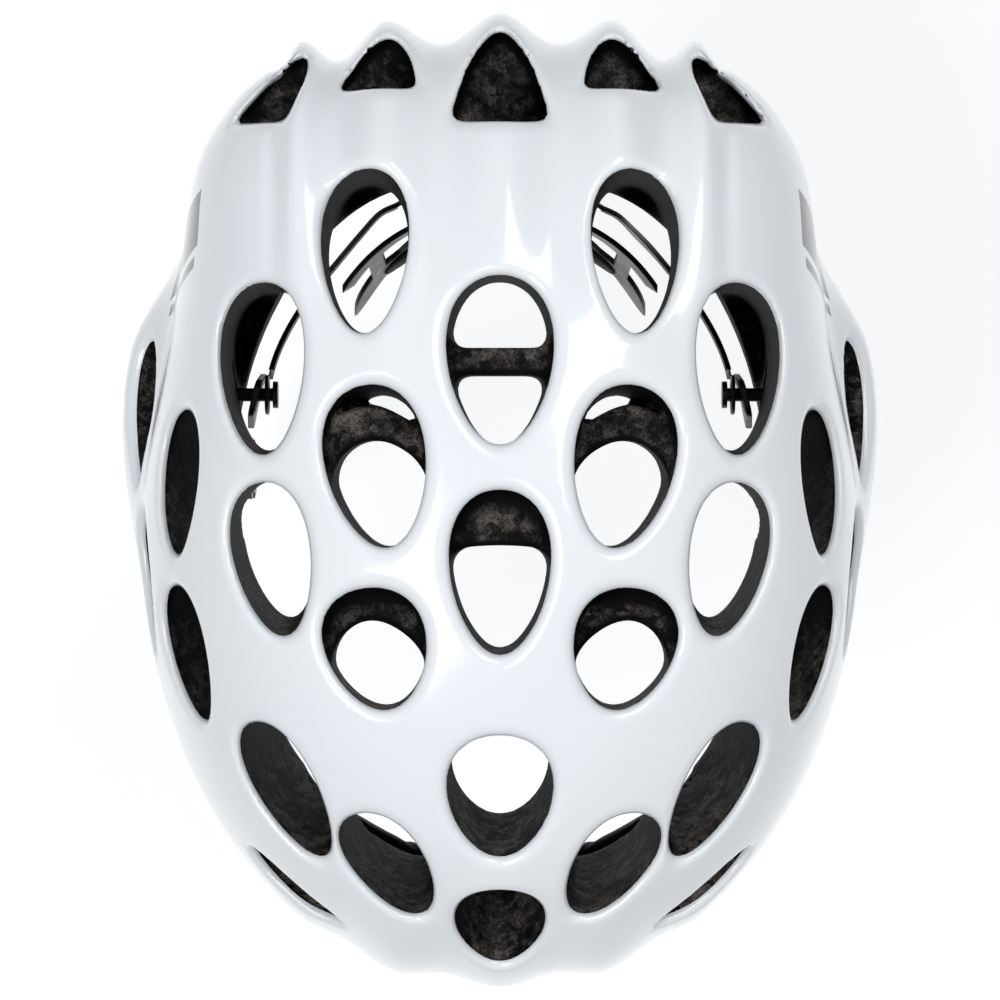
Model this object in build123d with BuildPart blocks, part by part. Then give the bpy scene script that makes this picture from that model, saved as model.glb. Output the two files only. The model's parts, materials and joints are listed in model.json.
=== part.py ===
from build123d import *
import math
import os

os.makedirs("parts", exist_ok=True)

# Cycling helmet, in millimetres. +Z is up, +Y is the back of the head, X runs across it.
# The origin is the centre of the head opening, at the level of the lowest rim point.

# ---------------------------------------------------------------- driving dimensions
SHELL_FRONT = 142.5        # origin to the front tip
SHELL_REAR = 139.0         # origin to the back of the shell
SHELL_HALF_WIDTH = 106.5
CROWN_HEIGHT = 150.0
SHELL_SKIN = 1.2           # moulded polycarbonate skin
LOWER_SHELL_DROP = 20.0    # height of the lower shell above the rim
SEAM_GAP = 0.4             # between the upper and the lower shell
CAVITY_HALF_WIDTH = 80.0
CAVITY_FRONT = 114.0
CAVITY_REAR = 101.0
CAVITY_TOP = 119.0
CAVITY_SHOULDER = 12.0     # height where the cavity wall starts to close in
REAR_SECTION_POINTS = 28   # the fluted back needs closer points
FRONT_SECTION_POINTS = 40
REAR_ARC = 76.0            # degrees of the back that they cover
STRAP_WIDTH = 15.0
STRAP_THICKNESS = 1.2
STRAP_Y = 11.0             # the chin straps hang at this distance behind the origin
STRAP_X = 91.0             # middle of the doubled webbing
FRONT_ANCHOR = (-43.0, 12.0, -39.0)   # end of the strap: y and z, then the anchor's y
REAR_ANCHOR = (48.0, 8.0, 48.0)
ANCHOR_SIZE = (5.4, 20.0, 9.0)
ANCHOR_RISE = 3.0          # an anchor's middle above the end of its strap
PAD_GAP = 0.4              # soft pads stand this far off the foam
PAD_THICKNESS = 5.5


# ---------------------------------------------------------------- form of the helmet
def ramp(start, end, value):
    """Smooth step from 0 at start to 1 at end."""
    t = min(max((value - start) / (end - start), 0.0), 1.0)
    return t * t * (3 - 2 * t)


def outer_form(x, y, z):
    """Roughly the distance outside the shell, negative within it."""
    rear = ramp(-20, 110, y)
    half_width = SHELL_HALF_WIDTH - 12.5 * ramp(-15, 85, y)
    half_length = SHELL_FRONT if y < 0 else SHELL_REAR
    waist = 40 + 30 * ramp(20, 130, y)
    half_height = CROWN_HEIGHT - waist if z > waist else 115.0
    plan_power = 2.15 + 2.05 * rear
    side_power = 2.15 + 0.25 * rear
    plan = abs(x / half_width) ** plan_power + abs(y / half_length) ** plan_power
    height = abs((z - waist) / half_height) ** side_power
    size = (plan ** (side_power / plan_power) + height) ** (1 / side_power)
    distance = math.sqrt(x * x + y * y + (z - waist) ** 2) * (1 - 1 / max(size, 1e-6))
    return distance - wing(x, y, z) - flutes(x, y, z) - front_lobes(x, y)


def wing(x, y, z):
    """Flare of the sides behind the temples."""
    along = ramp(-30, 45, y) * (1 - ramp(44, 84, y))
    return 12.5 * along * (1 - ramp(38, 64, z)) * ramp(50, 88, abs(x))


RIDGE_SPACING = 33.5       # between the ridges of the back
RIDGE_HEIGHT = 3.8
REAR_TUCK = 2.8            # how far the back is drawn in below the ridges


def flutes(x, y, z):
    """Ridges that run out over the rear ports, and the flattened corners beside them."""
    across = abs(x)
    phase = 2 * math.pi * (across + 0.01 * max(across - 25, 0.0) ** 2) / RIDGE_SPACING
    wave = math.cos(phase) - 0.25 * (1 - math.cos(phase)) * ramp(95, 130, y)
    ridge = RIDGE_HEIGHT * wave * ramp(25, 125, y) * (1 - ramp(58, 67, across)) * ramp(30, 60, z)
    corner = 4.2 * ramp(14, 54, across) + 0.9 * ramp(57, 71, across)
    corner = corner * (1 - ramp(80, 97, across)) * ramp(82, 124, y)
    return ridge - corner - REAR_TUCK * ramp(112, 138, y)


def front_lobes(x, y):
    """Shallow scallops along the front edge."""
    wave = math.cos(2 * math.pi * x / 31.0)
    return 1.4 * wave * (1 - ramp(-135, -90, y)) * (1 - ramp(45, 75, abs(x)))


def cavity_form(x, y, z):
    """Roughly the distance outside the head cavity, negative within it."""
    half_length = CAVITY_FRONT if y < 0 else CAVITY_REAR
    rise = max(z - CAVITY_SHOULDER, 0.0)
    power = 2.2
    plan = abs(x / CAVITY_HALF_WIDTH) ** power + abs(y / half_length) ** power
    height = (rise / (CAVITY_TOP - CAVITY_SHOULDER)) ** power
    size = (plan + height) ** (1 / power)
    return math.sqrt(x * x + y * y + rise * rise) * (1 - 1 / max(size, 1e-6))


def reach(form, z, angle, inset):
    """Radius from the Z axis to a form, moved inwards by inset, at one height and angle."""
    near, far = 0.0, 220.0
    for _ in range(26):
        middle = (near + far) / 2
        if form(middle * math.cos(angle), middle * math.sin(angle), z) < -inset:
            near = middle
        else:
            far = middle
    return near


def section_angles():
    """Angles about the Z axis of a section's points, in radians."""
    start = 90 - REAR_ARC / 2
    rest = 360 - REAR_ARC
    rear = [start + REAR_ARC * k / REAR_SECTION_POINTS for k in range(REAR_SECTION_POINTS)]
    front = [start + REAR_ARC + rest * k / FRONT_SECTION_POINTS for k in range(FRONT_SECTION_POINTS)]
    return [math.radians(angle) for angle in rear + front]


def dome(form, levels, inset=0.0):
    """Solid lofted through the level curves of a form."""
    with BuildPart() as body:
        for z in levels:
            with BuildSketch(Plane.XY.offset(z)):
                with BuildLine():
                    points = []
                    for angle in section_angles():
                        radius = reach(form, z, angle, inset)
                        points.append((radius * math.cos(angle), radius * math.sin(angle)))
                    Spline(*points, periodic=True)
                make_face()
        loft()
    return body.part


def levels_to(top, foot, count):
    """Heights from foot to top, closer together towards the top."""
    quarter = math.pi / 2
    steps = [math.sin(quarter * k / count) for k in range(count)]
    return [foot + (top - foot) * s for s in steps] + [top - 0.4]


RIM_LINE = [(-150, 36), (-120, 28), (-90, 15), (-55, 8), (-20, 12), (10, 16), (38, 8),
            (62, 0), (85, 2), (105, 6), (125, 10), (150, 16)]


def below_rim(raise_by=0.0):
    """Everything under the wavy lower edge of the helmet."""
    with BuildPart() as body:
        with BuildSketch(Plane.YZ):
            with BuildLine():
                points = [(y, z + raise_by) for y, z in RIM_LINE]
                Spline(*points)
                Polyline(points[-1], (150, -60), (-150, -60), points[0])
            make_face()
        extrude(amount=150, both=True)
    return body.part


# ---------------------------------------------------------------- vents
# Each vent is a channel between an outer mouth, drawn on the shell, and an inner mouth at the
# cavity. Sizes are half widths and half lengths; lean turns the length axis in degrees. The rear
# ports are blind and drawn in plan, with a straight front edge and an arch that leans towards the
# middle.
OPEN, PORT = range(2)
VENTS = {
    # name: (x, y, width, length, lean), (inner x, y, z, width, length), kind
    "crown_rear": ((0, 38, 14.4, 23.1, 0), (0, 38, 110, 11.8, 22), OPEN),
    "crown_front": ((0, -20, 13.6, 22.6, 0), (0, -20, 115, 11.4, 20), OPEN),
    "front_centre": ((0, -83, 14.4, 19.6, 0), (0, -75, 92, 11.8, 15), OPEN),
    "brow_centre": ((0, -123.5, 12.6, 19.5, 0), (0, -101, 62, 10, 10), OPEN),
    "upper_rear": ((37, 68, 13.2, 22.9, 4), (38, 70, 78, 11.5, 21), OPEN),
    "upper_middle": ((34, 9, 14.3, 22.4, 10), (33, 8, 110, 12.3, 20), OPEN),
    "upper_front": ((34, -41, 14.6, 17.2, 8), (34, -43, 101, 12.9, 14), OPEN),
    "brow_side": ((31, -103.5, 11.7, 19.5, 14), (30, -94, 62, 9.7, 13), OPEN),
    "side_rear": ((66, 36, 15.5, 23.8, 7), (67, 38, 62, 14.4, 22), OPEN),
    "side_middle": ((63, -17, 13.3, 21.5, 12), (63, -14, 80, 12, 18), OPEN),
    "side_front": ((60, -83, 12.6, 22.6, 14), (55, -72, 64, 10.5, 14), OPEN),
    "temple_rear": ((92, 5, 12.3, 20.9, 5), (74, 2, 52, 8, 15), OPEN),
    "temple_front": ((90, -44, 12.8, 19.8, 14), (69, -42, 52, 9, 15), OPEN),
    "wing_slot": ((106, 26, 6.0, 21.0, 4), (78, 22, 37, 4, 17), OPEN),
    "cheek_slot": ((103.5, -24, 10.5, 21.0, 4), (75, -21, 38, 6, 17), OPEN),
    "brow_slot": ((59.5, -114, 6.5, 17.0, 56), (46, -88, 48, 4.5, 12), OPEN),
    "port_centre": ((0, 118.7, 10.0, 13.9, 0), (0, 118.7, 90, 9, 12.5), PORT),
    "port_inner": ((33, 123, 8.2, 8.5, 0), (33, 122, 92, 7, 7), PORT),
    "port_outer": ((62.3, 116.3, 6.2, 10.2, 0), (62, 115.5, 86, 5.5, 8.5), PORT),
}
PORT_SHEAR = {"port_inner": 0.22, "port_outer": 0.64}
EGG = 0.18                 # how much narrower a vent is at its front
PORT_EGG = -0.42           # the ports narrow towards the back
MOUTH_POWER = 2.1          # roundness of a mouth: 2 is an ellipse
PORT_FRONT_POWER = 7.0
MOUTH_POINTS = 24
MOUTH_CLEARANCE = 0.45     # how far a cutter runs past the mouths, as a share of its depth
RIB_BLOCK_HEIGHT = 60.0
# Cross ribs left standing in the foam under four of the vents: (x, y, half x, half y, top z)
RIBS = [(0, 38, 16, 5, 130), (0, -5, 16, 9, 133), (34, 21, 17, 6, 128), (34, -30, 17, 5, 124)]


def height_on_shell(x, y):
    """Height of the shell's surface over a point of the plan."""
    low, high = 30.0, CROWN_HEIGHT + 5
    for _ in range(30):
        middle = (low + high) / 2
        if outer_form(x, y, middle) < 0:
            low = middle
        else:
            high = middle
    return low


def shell_normal(point):
    """Unit vector out of the shell at a point of its surface."""
    step = 0.5
    slope = []
    for offset in (Vector(step, 0, 0), Vector(0, step, 0), Vector(0, 0, step)):
        ahead = point + offset
        behind = point - offset
        slope.append(outer_form(ahead.X, ahead.Y, ahead.Z) - outer_form(behind.X, behind.Y, behind.Z))
    return Vector(*slope).normalized()


def mouth_points(half_width, half_length, kind, shear):
    """Outline of a vent with its length along local Y, rear end up."""
    points = []
    egg = EGG if kind == OPEN else PORT_EGG
    for k in range(MOUTH_POINTS):
        angle = 2 * math.pi * k / MOUTH_POINTS
        power = PORT_FRONT_POWER if kind == PORT and math.sin(angle) < 0 else MOUTH_POWER
        across = math.copysign(abs(math.cos(angle)) ** (2 / power), math.cos(angle))
        along = math.copysign(abs(math.sin(angle)) ** (2 / power), math.sin(angle))
        middle = -shear * half_length * along
        points.append((middle + half_width * across * (1 + egg * along), half_length * along))
    return points


def vent_cutter(name, side):
    """Channel of one vent; side is 1 or -1."""
    mouth, inner_mouth, kind = VENTS[name]
    x, y, width, length, lean = mouth
    inner_x, inner_y, inner_z, inner_width, inner_length = inner_mouth
    outer_centre = Vector(side * x, y, height_on_shell(x, y))
    inner_centre = Vector(side * inner_x, inner_y, inner_z)
    normal = shell_normal(outer_centre) if kind == OPEN else Vector(0, 0, 1)
    lean_angle = math.radians(lean) * side
    length_axis = Vector(math.sin(lean_angle), math.cos(lean_angle), 0)
    length_axis = (length_axis - normal * length_axis.dot(normal)).normalized()
    width_axis = length_axis.cross(normal)
    shear = PORT_SHEAR.get(name, 0.0) * side
    with BuildPart() as body:
        for depth in (-MOUTH_CLEARANCE, 1 + MOUTH_CLEARANCE if kind == OPEN else 1):
            centre = outer_centre + (inner_centre - outer_centre) * depth
            half_width = width + (inner_width - width) * depth
            half_length = length + (inner_length - length) * depth
            with BuildSketch(Plane(origin=centre, x_dir=width_axis, z_dir=normal)):
                with BuildLine():
                    Spline(*mouth_points(half_width, half_length, kind, shear), periodic=True)
                make_face()
        loft()
    return body.part


def all_vent_cutters():
    """One channel per vent, on both sides where it is off the centre line."""
    cutters = []
    for name, (mouth, *_) in VENTS.items():
        for side in ((1,) if mouth[0] == 0 else (1, -1)):
            cutters.append(vent_cutter(name, side))
    return cutters


def ribbed(cutter):
    """A vent channel interrupted by the foam's cross ribs that stand in it."""
    room = cutter.bounding_box()
    for x, y, half_x, half_y, top in RIBS:
        for rib_x in {x, -x}:
            if room.min.X < rib_x < room.max.X and room.min.Y < y < room.max.Y:
                centre = (rib_x, y, top - RIB_BLOCK_HEIGHT / 2)
                cutter = cutter - Pos(*centre) * Box(2 * half_x, 2 * half_y, RIB_BLOCK_HEIGHT)
    return cutter


# ---------------------------------------------------------------- shell and foam
def save(body, name):
    """Label a finished sub-part and write its STEP file."""
    body.part.label = name
    export_step(body.part, f"parts/{name}.step")


OUTSIDE = dome(outer_form, levels_to(CROWN_HEIGHT, -8, 13))
SKIN_BACK = dome(outer_form, levels_to(CROWN_HEIGHT - SHELL_SKIN, -8, 13), SHELL_SKIN)
CAVITY = dome(cavity_form, levels_to(CAVITY_TOP, -20, 12))
VENT_CUTTERS = all_vent_cutters()

FOAM_CHANNELS = [ribbed(vent) for vent in VENT_CUTTERS]
POCKET_DEPTH = 30.0        # the anchors' pockets run out through the rim

with BuildPart() as anchor_pockets:
    for side in (1, -1):
        for _, strap_z, anchor_y in (FRONT_ANCHOR, REAR_ANCHOR):
            pocket_top = strap_z + ANCHOR_RISE + ANCHOR_SIZE[2] / 2
            with Locations((side * STRAP_X, anchor_y, pocket_top - POCKET_DEPTH / 2)):
                Box(ANCHOR_SIZE[0], ANCHOR_SIZE[1], POCKET_DEPTH)

with BuildPart() as foam_liner:
    add(SKIN_BACK)
    add(CAVITY, mode=Mode.SUBTRACT)
    add(below_rim(), mode=Mode.SUBTRACT)
    for channel in FOAM_CHANNELS:
        add(channel, mode=Mode.SUBTRACT)
    add(anchor_pockets.part, mode=Mode.SUBTRACT)
save(foam_liner, "foam_liner")

with BuildPart() as whole_skin:
    add(OUTSIDE)
    add(SKIN_BACK, mode=Mode.SUBTRACT)
    add(below_rim(), mode=Mode.SUBTRACT)
    for vent in VENT_CUTTERS:
        add(vent, mode=Mode.SUBTRACT)

with BuildPart() as outer_shell:
    add(whole_skin.part)
    add(below_rim(LOWER_SHELL_DROP + SEAM_GAP), mode=Mode.SUBTRACT)
save(outer_shell, "outer_shell")

with BuildPart() as lower_shell:
    add(whole_skin.part)
    add(below_rim(LOWER_SHELL_DROP), mode=Mode.INTERSECT)
save(lower_shell, "lower_shell")

RIM_BEAD_RADIUS = 1.6      # soft bead under the shell's edge
RIM_BEAD_INSET = 2.2
RIM_BEAD_GAP = 0.5
RIM_CURVE = Spline(*[(y, z) for y, z in RIM_LINE])


def rim_height(y):
    """Height of the rim at a distance behind the origin."""
    low, high = 0.0, 1.0
    for _ in range(24):
        middle = (low + high) / 2
        if (RIM_CURVE @ middle).X < y:
            low = middle
        else:
            high = middle
    return (RIM_CURVE @ low).Y


def bead_point(angle):
    """Point of the bead's centre line at an angle about the Z axis."""
    z = 10.0
    for _ in range(12):
        radius = reach(outer_form, z, angle, RIM_BEAD_INSET)
        z = rim_height(radius * math.sin(angle)) - RIM_BEAD_RADIUS - RIM_BEAD_GAP
    return (radius * math.cos(angle), radius * math.sin(angle), z)


RIM_BEAD_JOINT = 0.2       # degrees either side of the butt joint at the back
RIM_BEAD_RUNS = 64
bead_turn = 360.0 - 2 * RIM_BEAD_JOINT
bead_path = []
for k in range(RIM_BEAD_RUNS + 1):
    bead_angle = 90 + RIM_BEAD_JOINT + bead_turn * k / RIM_BEAD_RUNS
    bead_path.append(Vector(*bead_point(math.radians(bead_angle))))
with BuildPart() as rim_trim:
    for k, point in enumerate(bead_path):
        ahead = bead_path[min(k + 1, RIM_BEAD_RUNS)]
        behind = bead_path[max(k - 1, 0)]
        with BuildSketch(Plane(origin=point, x_dir=(0, 0, 1), z_dir=ahead - behind)):
            Circle(RIM_BEAD_RADIUS)
    loft(ruled=True)
save(rim_trim, "rim_trim")


# ---------------------------------------------------------------- comfort pads
PAD_OUTER = dome(cavity_form, levels_to(CAVITY_TOP - PAD_GAP, -20, 12), PAD_GAP)
PAD_INNER = dome(cavity_form, levels_to(CAVITY_TOP - PAD_GAP - PAD_THICKNESS, -20, 12),
                 PAD_GAP + PAD_THICKNESS)
# name: centre of the box the pad fills and the box's size
PADS = {
    "brow_pad": ((0, -104, 35), (96, 44, 18)),
    "crown_pad": ((0, 1, 112), (28, 27, 40)),
    "crown_side_pad_right": ((36, -23, 100), (25, 18, 60)),
    "crown_side_pad_left": ((-36, -23, 100), (25, 18, 60)),
    "temple_pad_right": ((72, -48, 42), (40, 28, 18)),
    "temple_pad_left": ((-72, -48, 42), (40, 28, 18)),
}


def pad(centre, size):
    """Piece of the layer against the foam, as large as its box."""
    with BuildPart() as body:
        with Locations(centre):
            Box(*size)
        add(PAD_OUTER, mode=Mode.INTERSECT)
        add(PAD_INNER, mode=Mode.SUBTRACT)
    return body


for pad_name, (pad_centre, pad_size) in PADS.items():
    save(pad(pad_centre, pad_size), pad_name)

HOOK_RADIUS = 6.0
HOOK_THICKNESS = 1.2
HOOK_POINTS = [(0, -108, 36), (30, -103, 36), (-30, -103, 36), (0, 1, 119), (36, -23, 100),
               (-36, -23, 100), (68, -48, 42), (-68, -48, 42)]


def cavity_plane(point, depth):
    """Plane on the cavity wall nearest a point, facing into the cavity, sunk by depth."""
    x, y, z = point
    step = 0.5
    slope = Vector(cavity_form(x + step, y, z) - cavity_form(x - step, y, z),
                   cavity_form(x, y + step, z) - cavity_form(x, y - step, z),
                   cavity_form(x, y, z + step) - cavity_form(x, y, z - step)).normalized()
    wall = Vector(x, y, z) - slope * cavity_form(x, y, z)
    return Plane(origin=wall + slope * depth, z_dir=slope * -1)


with BuildPart() as hook_dots:
    for hook_point in HOOK_POINTS:
        with BuildSketch(cavity_plane(hook_point, HOOK_THICKNESS - PAD_GAP / 2)):
            Circle(HOOK_RADIUS)
        extrude(amount=HOOK_THICKNESS)
save(hook_dots, "hook_dots")

# ---------------------------------------------------------------- retention cradle
PIVOT_Y = 31.0             # temple pivots
PIVOT_Z = 35.0
PIN_RADIUS = 2.0
RUNNING_GAP = 0.05
BAND_THICKNESS = 1.2
BAND_HEIGHT = 8.0
CRADLE_HALF_WIDTH = 74.0   # plan oval of the cradle's outer face
CRADLE_REAR = 88.0
CRADLE_TOP = 40.0          # heights that the cradle's sloping wall is drawn between
CRADLE_FOOT = -50.0
CRADLE_FOOT_HALF_WIDTH = 50.0
OVAL_POINTS = 25
DIAL_Z = -24.0             # height of the dial's axis
RACK_PITCH_RADIUS = 4.0
RACK_Y = 91.0              # middle of the racks' thickness
RACK_THICKNESS = 2.0
RACK_HEIGHT = 5.0
HOUSING_HALF_WIDTH = 22.0
HOUSING_HALF_HEIGHT = 13.0
HOUSING_FRONT = 88.4
HOUSING_REAR = 97.4
WALL = 1.6
KNOB_RADIUS = 15.0
KNOB_FRONT = 98.0
KNOB_REAR = 110.0


def oval_run(half_width, rear):
    """Points of the rear half of a plan oval, from the right temple round to the left one."""
    power = 1 / 1.1
    points = []
    for k in range(OVAL_POINTS):
        turn = math.pi * k / (OVAL_POINTS - 1)
        across = math.copysign(abs(math.cos(turn)) ** power, math.cos(turn))
        points.append((half_width * across, rear * math.sin(turn) ** power))
    return points


def oval_wall(half_width, rear, thickness, low, high, foot_half_width=None):
    """Wall along the rear of the plan oval, upright or drawn in at its foot."""
    foot = half_width if foot_half_width is None else foot_half_width
    with BuildPart() as body:
        for z, half in ((low, foot), (high, half_width)):
            with BuildSketch(Plane.XY.offset(z)):
                with BuildLine():
                    outer_run = oval_run(half, rear)
                    inner_run = oval_run(half - thickness, rear - thickness)
                    Spline(*outer_run)
                    Line(outer_run[-1], inner_run[-1])
                    Spline(*reversed(inner_run))
                    Line(inner_run[0], outer_run[0])
                make_face()
        loft()
    return body.part


def strip_outline(points, width):
    """Closed outline of a strip of even width along a bent line."""
    left_edge = []
    right_edge = []
    for k, point in enumerate(points):
        ahead = points[min(k + 1, len(points) - 1)]
        behind = points[max(k - 1, 0)]
        length = math.hypot(ahead[0] - behind[0], ahead[1] - behind[1])
        step_x = (behind[1] - ahead[1]) / length * width / 2
        step_y = (ahead[0] - behind[0]) / length * width / 2
        left_edge.append((point[0] + step_x, point[1] + step_y))
        right_edge.append((point[0] - step_x, point[1] - step_y))
    return left_edge, right_edge


def strip(points, width):
    """Flat strip of even width along a bent line, for a sketch."""
    left_edge, right_edge = strip_outline(points, width)
    with BuildSketch(Plane.XY, mode=Mode.PRIVATE) as shape:
        with BuildLine():
            if len(points) > 2:
                Spline(*left_edge)
                Spline(*reversed(right_edge))
            else:
                Line(*left_edge)
                Line(*reversed(right_edge))
            Line(left_edge[-1], right_edge[-1])
            Line(right_edge[0], left_edge[0])
        make_face()
    return shape.sketch


# Flexible bands: a plan ribbon cut to the band's side outline
BAND_PLAN = [(69.6, 24), (68.6, 36), (65.2, 47), (59, 59),
             (50.5, 71), (43, 81), (37, 88), (31.2, 91)]
BAND_SIDE = [(31, 35), (46, 27), (61, 13), (75, -3)]


def band(side):
    """Flexible band from the temple pivot to its rack; side is 1 or -1."""
    rack_level = DIAL_Z - side * (RACK_PITCH_RADIUS + RACK_HEIGHT / 2)
    side_line = BAND_SIDE + [(85, rack_level + 5), (91.5, rack_level)]
    with BuildPart() as body:
        with BuildSketch(Plane.XY.offset(-50)):
            add(strip([(side * x, y) for x, y in BAND_PLAN], BAND_THICKNESS))
        extrude(amount=100)
        with BuildSketch(Plane.YZ):
            add(strip(side_line, RACK_HEIGHT + 2))
            with Locations((PIVOT_Y, PIVOT_Z)):
                Circle(BAND_HEIGHT / 2 + 2)
                Circle(PIN_RADIUS + RUNNING_GAP, mode=Mode.SUBTRACT)
        extrude(amount=side * 100, mode=Mode.INTERSECT)
    return body


save(band(1), "band_right")
save(band(-1), "band_left")

PLATE_OUTLINE = [(20, 27), (38, 27), (35, 43), (25, 43)]
PLATE_SLOT_LENGTH = 9.0
PLATE_SLOT_WIDTH = 3.0
PLATE_THICKNESS = 1.8
PLATE_GAP = 0.9            # between the plate and the band that swings beside it


def temple_plate(side):
    """Triangular plate that anchors a band's pivot to the foam."""
    face = CRADLE_HALF_WIDTH + PLATE_GAP + PLATE_THICKNESS
    with BuildPart() as body:
        add(oval_wall(face, CRADLE_REAR + face - CRADLE_HALF_WIDTH, PLATE_THICKNESS, 10, 60))
        with BuildSketch(Plane.YZ) as outline:
            Polygon(*PLATE_OUTLINE, align=None)
            fillet(outline.vertices(), 3.0)
            with Locations((30, 39.5)):
                SlotOverall(PLATE_SLOT_LENGTH, PLATE_SLOT_WIDTH, mode=Mode.SUBTRACT)
        extrude(amount=side * 100, mode=Mode.INTERSECT)
    return body


save(temple_plate(1), "temple_plate_right")
save(temple_plate(-1), "temple_plate_left")

PIN_HEAD_RADIUS = 4.0
PIN_HEAD_X = 66.0
PIN_END_X = 82.0
with BuildPart() as temple_pins:
    for side in (1, -1):
        with BuildSketch(Plane.YZ.offset(side * PIN_HEAD_X)):
            with Locations((PIVOT_Y, PIVOT_Z)):
                Circle(PIN_HEAD_RADIUS)
        extrude(amount=side * 1.5)
        with BuildSketch(Plane.YZ.offset(side * PIN_HEAD_X)):
            with Locations((PIVOT_Y, PIVOT_Z)):
                Circle(PIN_RADIUS)
        extrude(amount=side * (PIN_END_X - PIN_HEAD_X))
save(temple_pins, "temple_pins")

# Occipital cradle: an open frame on the plan oval
with BuildPart() as cradle_frame:
    add(oval_wall(CRADLE_HALF_WIDTH, CRADLE_REAR, WALL, CRADLE_FOOT, CRADLE_TOP,
                  CRADLE_FOOT_HALF_WIDTH))
    with BuildSketch(Plane.XZ):
        with Locations((0, -7)):
            RectangleRounded(15, 60, 4)
        for side in (1, -1):
            add(strip([(side * 4, 17), (side * 20, 18), (side * 38, 13), (side * 46, 9)], 8))
            add(strip([(side * 4, -16), (side * 20, -19), (side * 38, -17)], 12))
            with Locations((side * 38, -17)):
                Circle(7)
            add(strip([(side * 7, 12), (side * 30, -14)], 4))
            add(strip([(side * 38, 13), (side * 37, -14)], 4))
    extrude(amount=-120, mode=Mode.INTERSECT)
save(cradle_frame, "cradle_frame")

CRADLE_PAD_THICKNESS = 3.0
with BuildPart() as cradle_pads:
    add(oval_wall(CRADLE_HALF_WIDTH - WALL, CRADLE_REAR - WALL, CRADLE_PAD_THICKNESS,
                  CRADLE_FOOT, CRADLE_TOP, CRADLE_FOOT_HALF_WIDTH - WALL))
    with BuildSketch(Plane.XZ):
        for side in (1, -1):
            add(strip([(side * 14, -18), (side * 25, -19), (side * 38, -17)], 11))
    extrude(amount=-120, mode=Mode.INTERSECT)
save(cradle_pads, "cradle_pads")

# Dial housing: rear shell, front cover and screws
SCREW_X = 18.0
SCREW_Z = 10.3
SCREW_RADIUS = 1.0
SCREW_SPOTS = [(SCREW_X, SCREW_Z), (-SCREW_X, SCREW_Z), (SCREW_X, -SCREW_Z), (-SCREW_X, -SCREW_Z)]
SHAFT_RADIUS = 2.0
COVER_THICKNESS = 1.2
POCKET_REAR = HOUSING_REAR - WALL
RACK_SLOT_GAP = 0.3
RATCHET_RADIUS = 7.0
RATCHET_Y = 93.6
RATCHET_WIDTH = 1.6


def housing_plane(y):
    """Plane across the dial's axis, with local X along -X and local Y up."""
    return Plane(origin=(0, y, DIAL_Z), x_dir=(-1, 0, 0), z_dir=(0, 1, 0))


with BuildPart() as dial_housing:
    with BuildSketch(housing_plane(HOUSING_FRONT + COVER_THICKNESS)):
        RectangleRounded(2 * HOUSING_HALF_WIDTH, 2 * HOUSING_HALF_HEIGHT, 6)
    extrude(amount=HOUSING_REAR - HOUSING_FRONT - COVER_THICKNESS)
    with BuildSketch(housing_plane(HOUSING_FRONT + COVER_THICKNESS)):
        Rectangle(2 * (SCREW_X - 3), 2 * (HOUSING_HALF_HEIGHT - WALL))
    extrude(amount=POCKET_REAR - HOUSING_FRONT - COVER_THICKNESS, mode=Mode.SUBTRACT)
    for side in (1, -1):
        level = DIAL_Z - side * (RACK_PITCH_RADIUS + RACK_HEIGHT / 2)
        with Locations((0, RACK_Y, level)):
            Box(120, RACK_THICKNESS + 2 * RACK_SLOT_GAP, RACK_HEIGHT + 2.6, mode=Mode.SUBTRACT)
    with BuildSketch(housing_plane(HOUSING_FRONT)):
        Circle(SHAFT_RADIUS + RUNNING_GAP)
    extrude(amount=20, mode=Mode.SUBTRACT)
    with BuildSketch(housing_plane(HOUSING_FRONT)):
        with Locations(*SCREW_SPOTS):
            Circle(SCREW_RADIUS)
    extrude(amount=6, mode=Mode.SUBTRACT)
save(dial_housing, "dial_housing")

with BuildPart() as housing_cover:
    with BuildSketch(housing_plane(HOUSING_FRONT)):
        RectangleRounded(2 * HOUSING_HALF_WIDTH, 2 * HOUSING_HALF_HEIGHT, 6)
        with Locations(*SCREW_SPOTS):
            Circle(SCREW_RADIUS, mode=Mode.SUBTRACT)
        Circle(SHAFT_RADIUS + RUNNING_GAP, mode=Mode.SUBTRACT)
    extrude(amount=COVER_THICKNESS)
save(housing_cover, "housing_cover")

with BuildPart() as housing_screws:
    with BuildSketch(housing_plane(HOUSING_FRONT - 0.8)):
        with Locations(*SCREW_SPOTS):
            Circle(1.9)
    extrude(amount=0.8)
    with BuildSketch(housing_plane(HOUSING_FRONT - 0.8)):
        with Locations(*SCREW_SPOTS):
            Circle(SCREW_RADIUS)
    extrude(amount=6.5)
save(housing_screws, "housing_screws")

# Rack and pinion
TEETH = 12
TOOTH_PITCH = 2 * math.pi * RACK_PITCH_RADIUS / TEETH
TOOTH_DEPTH = 0.55         # above and below the pitch line
TOOTH_BACKLASH = 0.3
RACK_TOOTHED = 24.0        # toothed length
RACK_INNER_END = 4.0       # how far a rack reaches past the dial's axis at rest
RACK_OUTER_END = 30.0


def tooth_points(centre, level, direction):
    """Corners of one rack tooth that points along direction, 1 up or -1 down."""
    root = TOOTH_PITCH / 2 - TOOTH_BACKLASH
    tip = root * 0.45
    base = level - direction * TOOTH_DEPTH
    return [(centre - root / 2, base), (centre - tip / 2, base + direction * 2 * TOOTH_DEPTH),
            (centre + tip / 2, base + direction * 2 * TOOTH_DEPTH), (centre + root / 2, base)]


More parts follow.
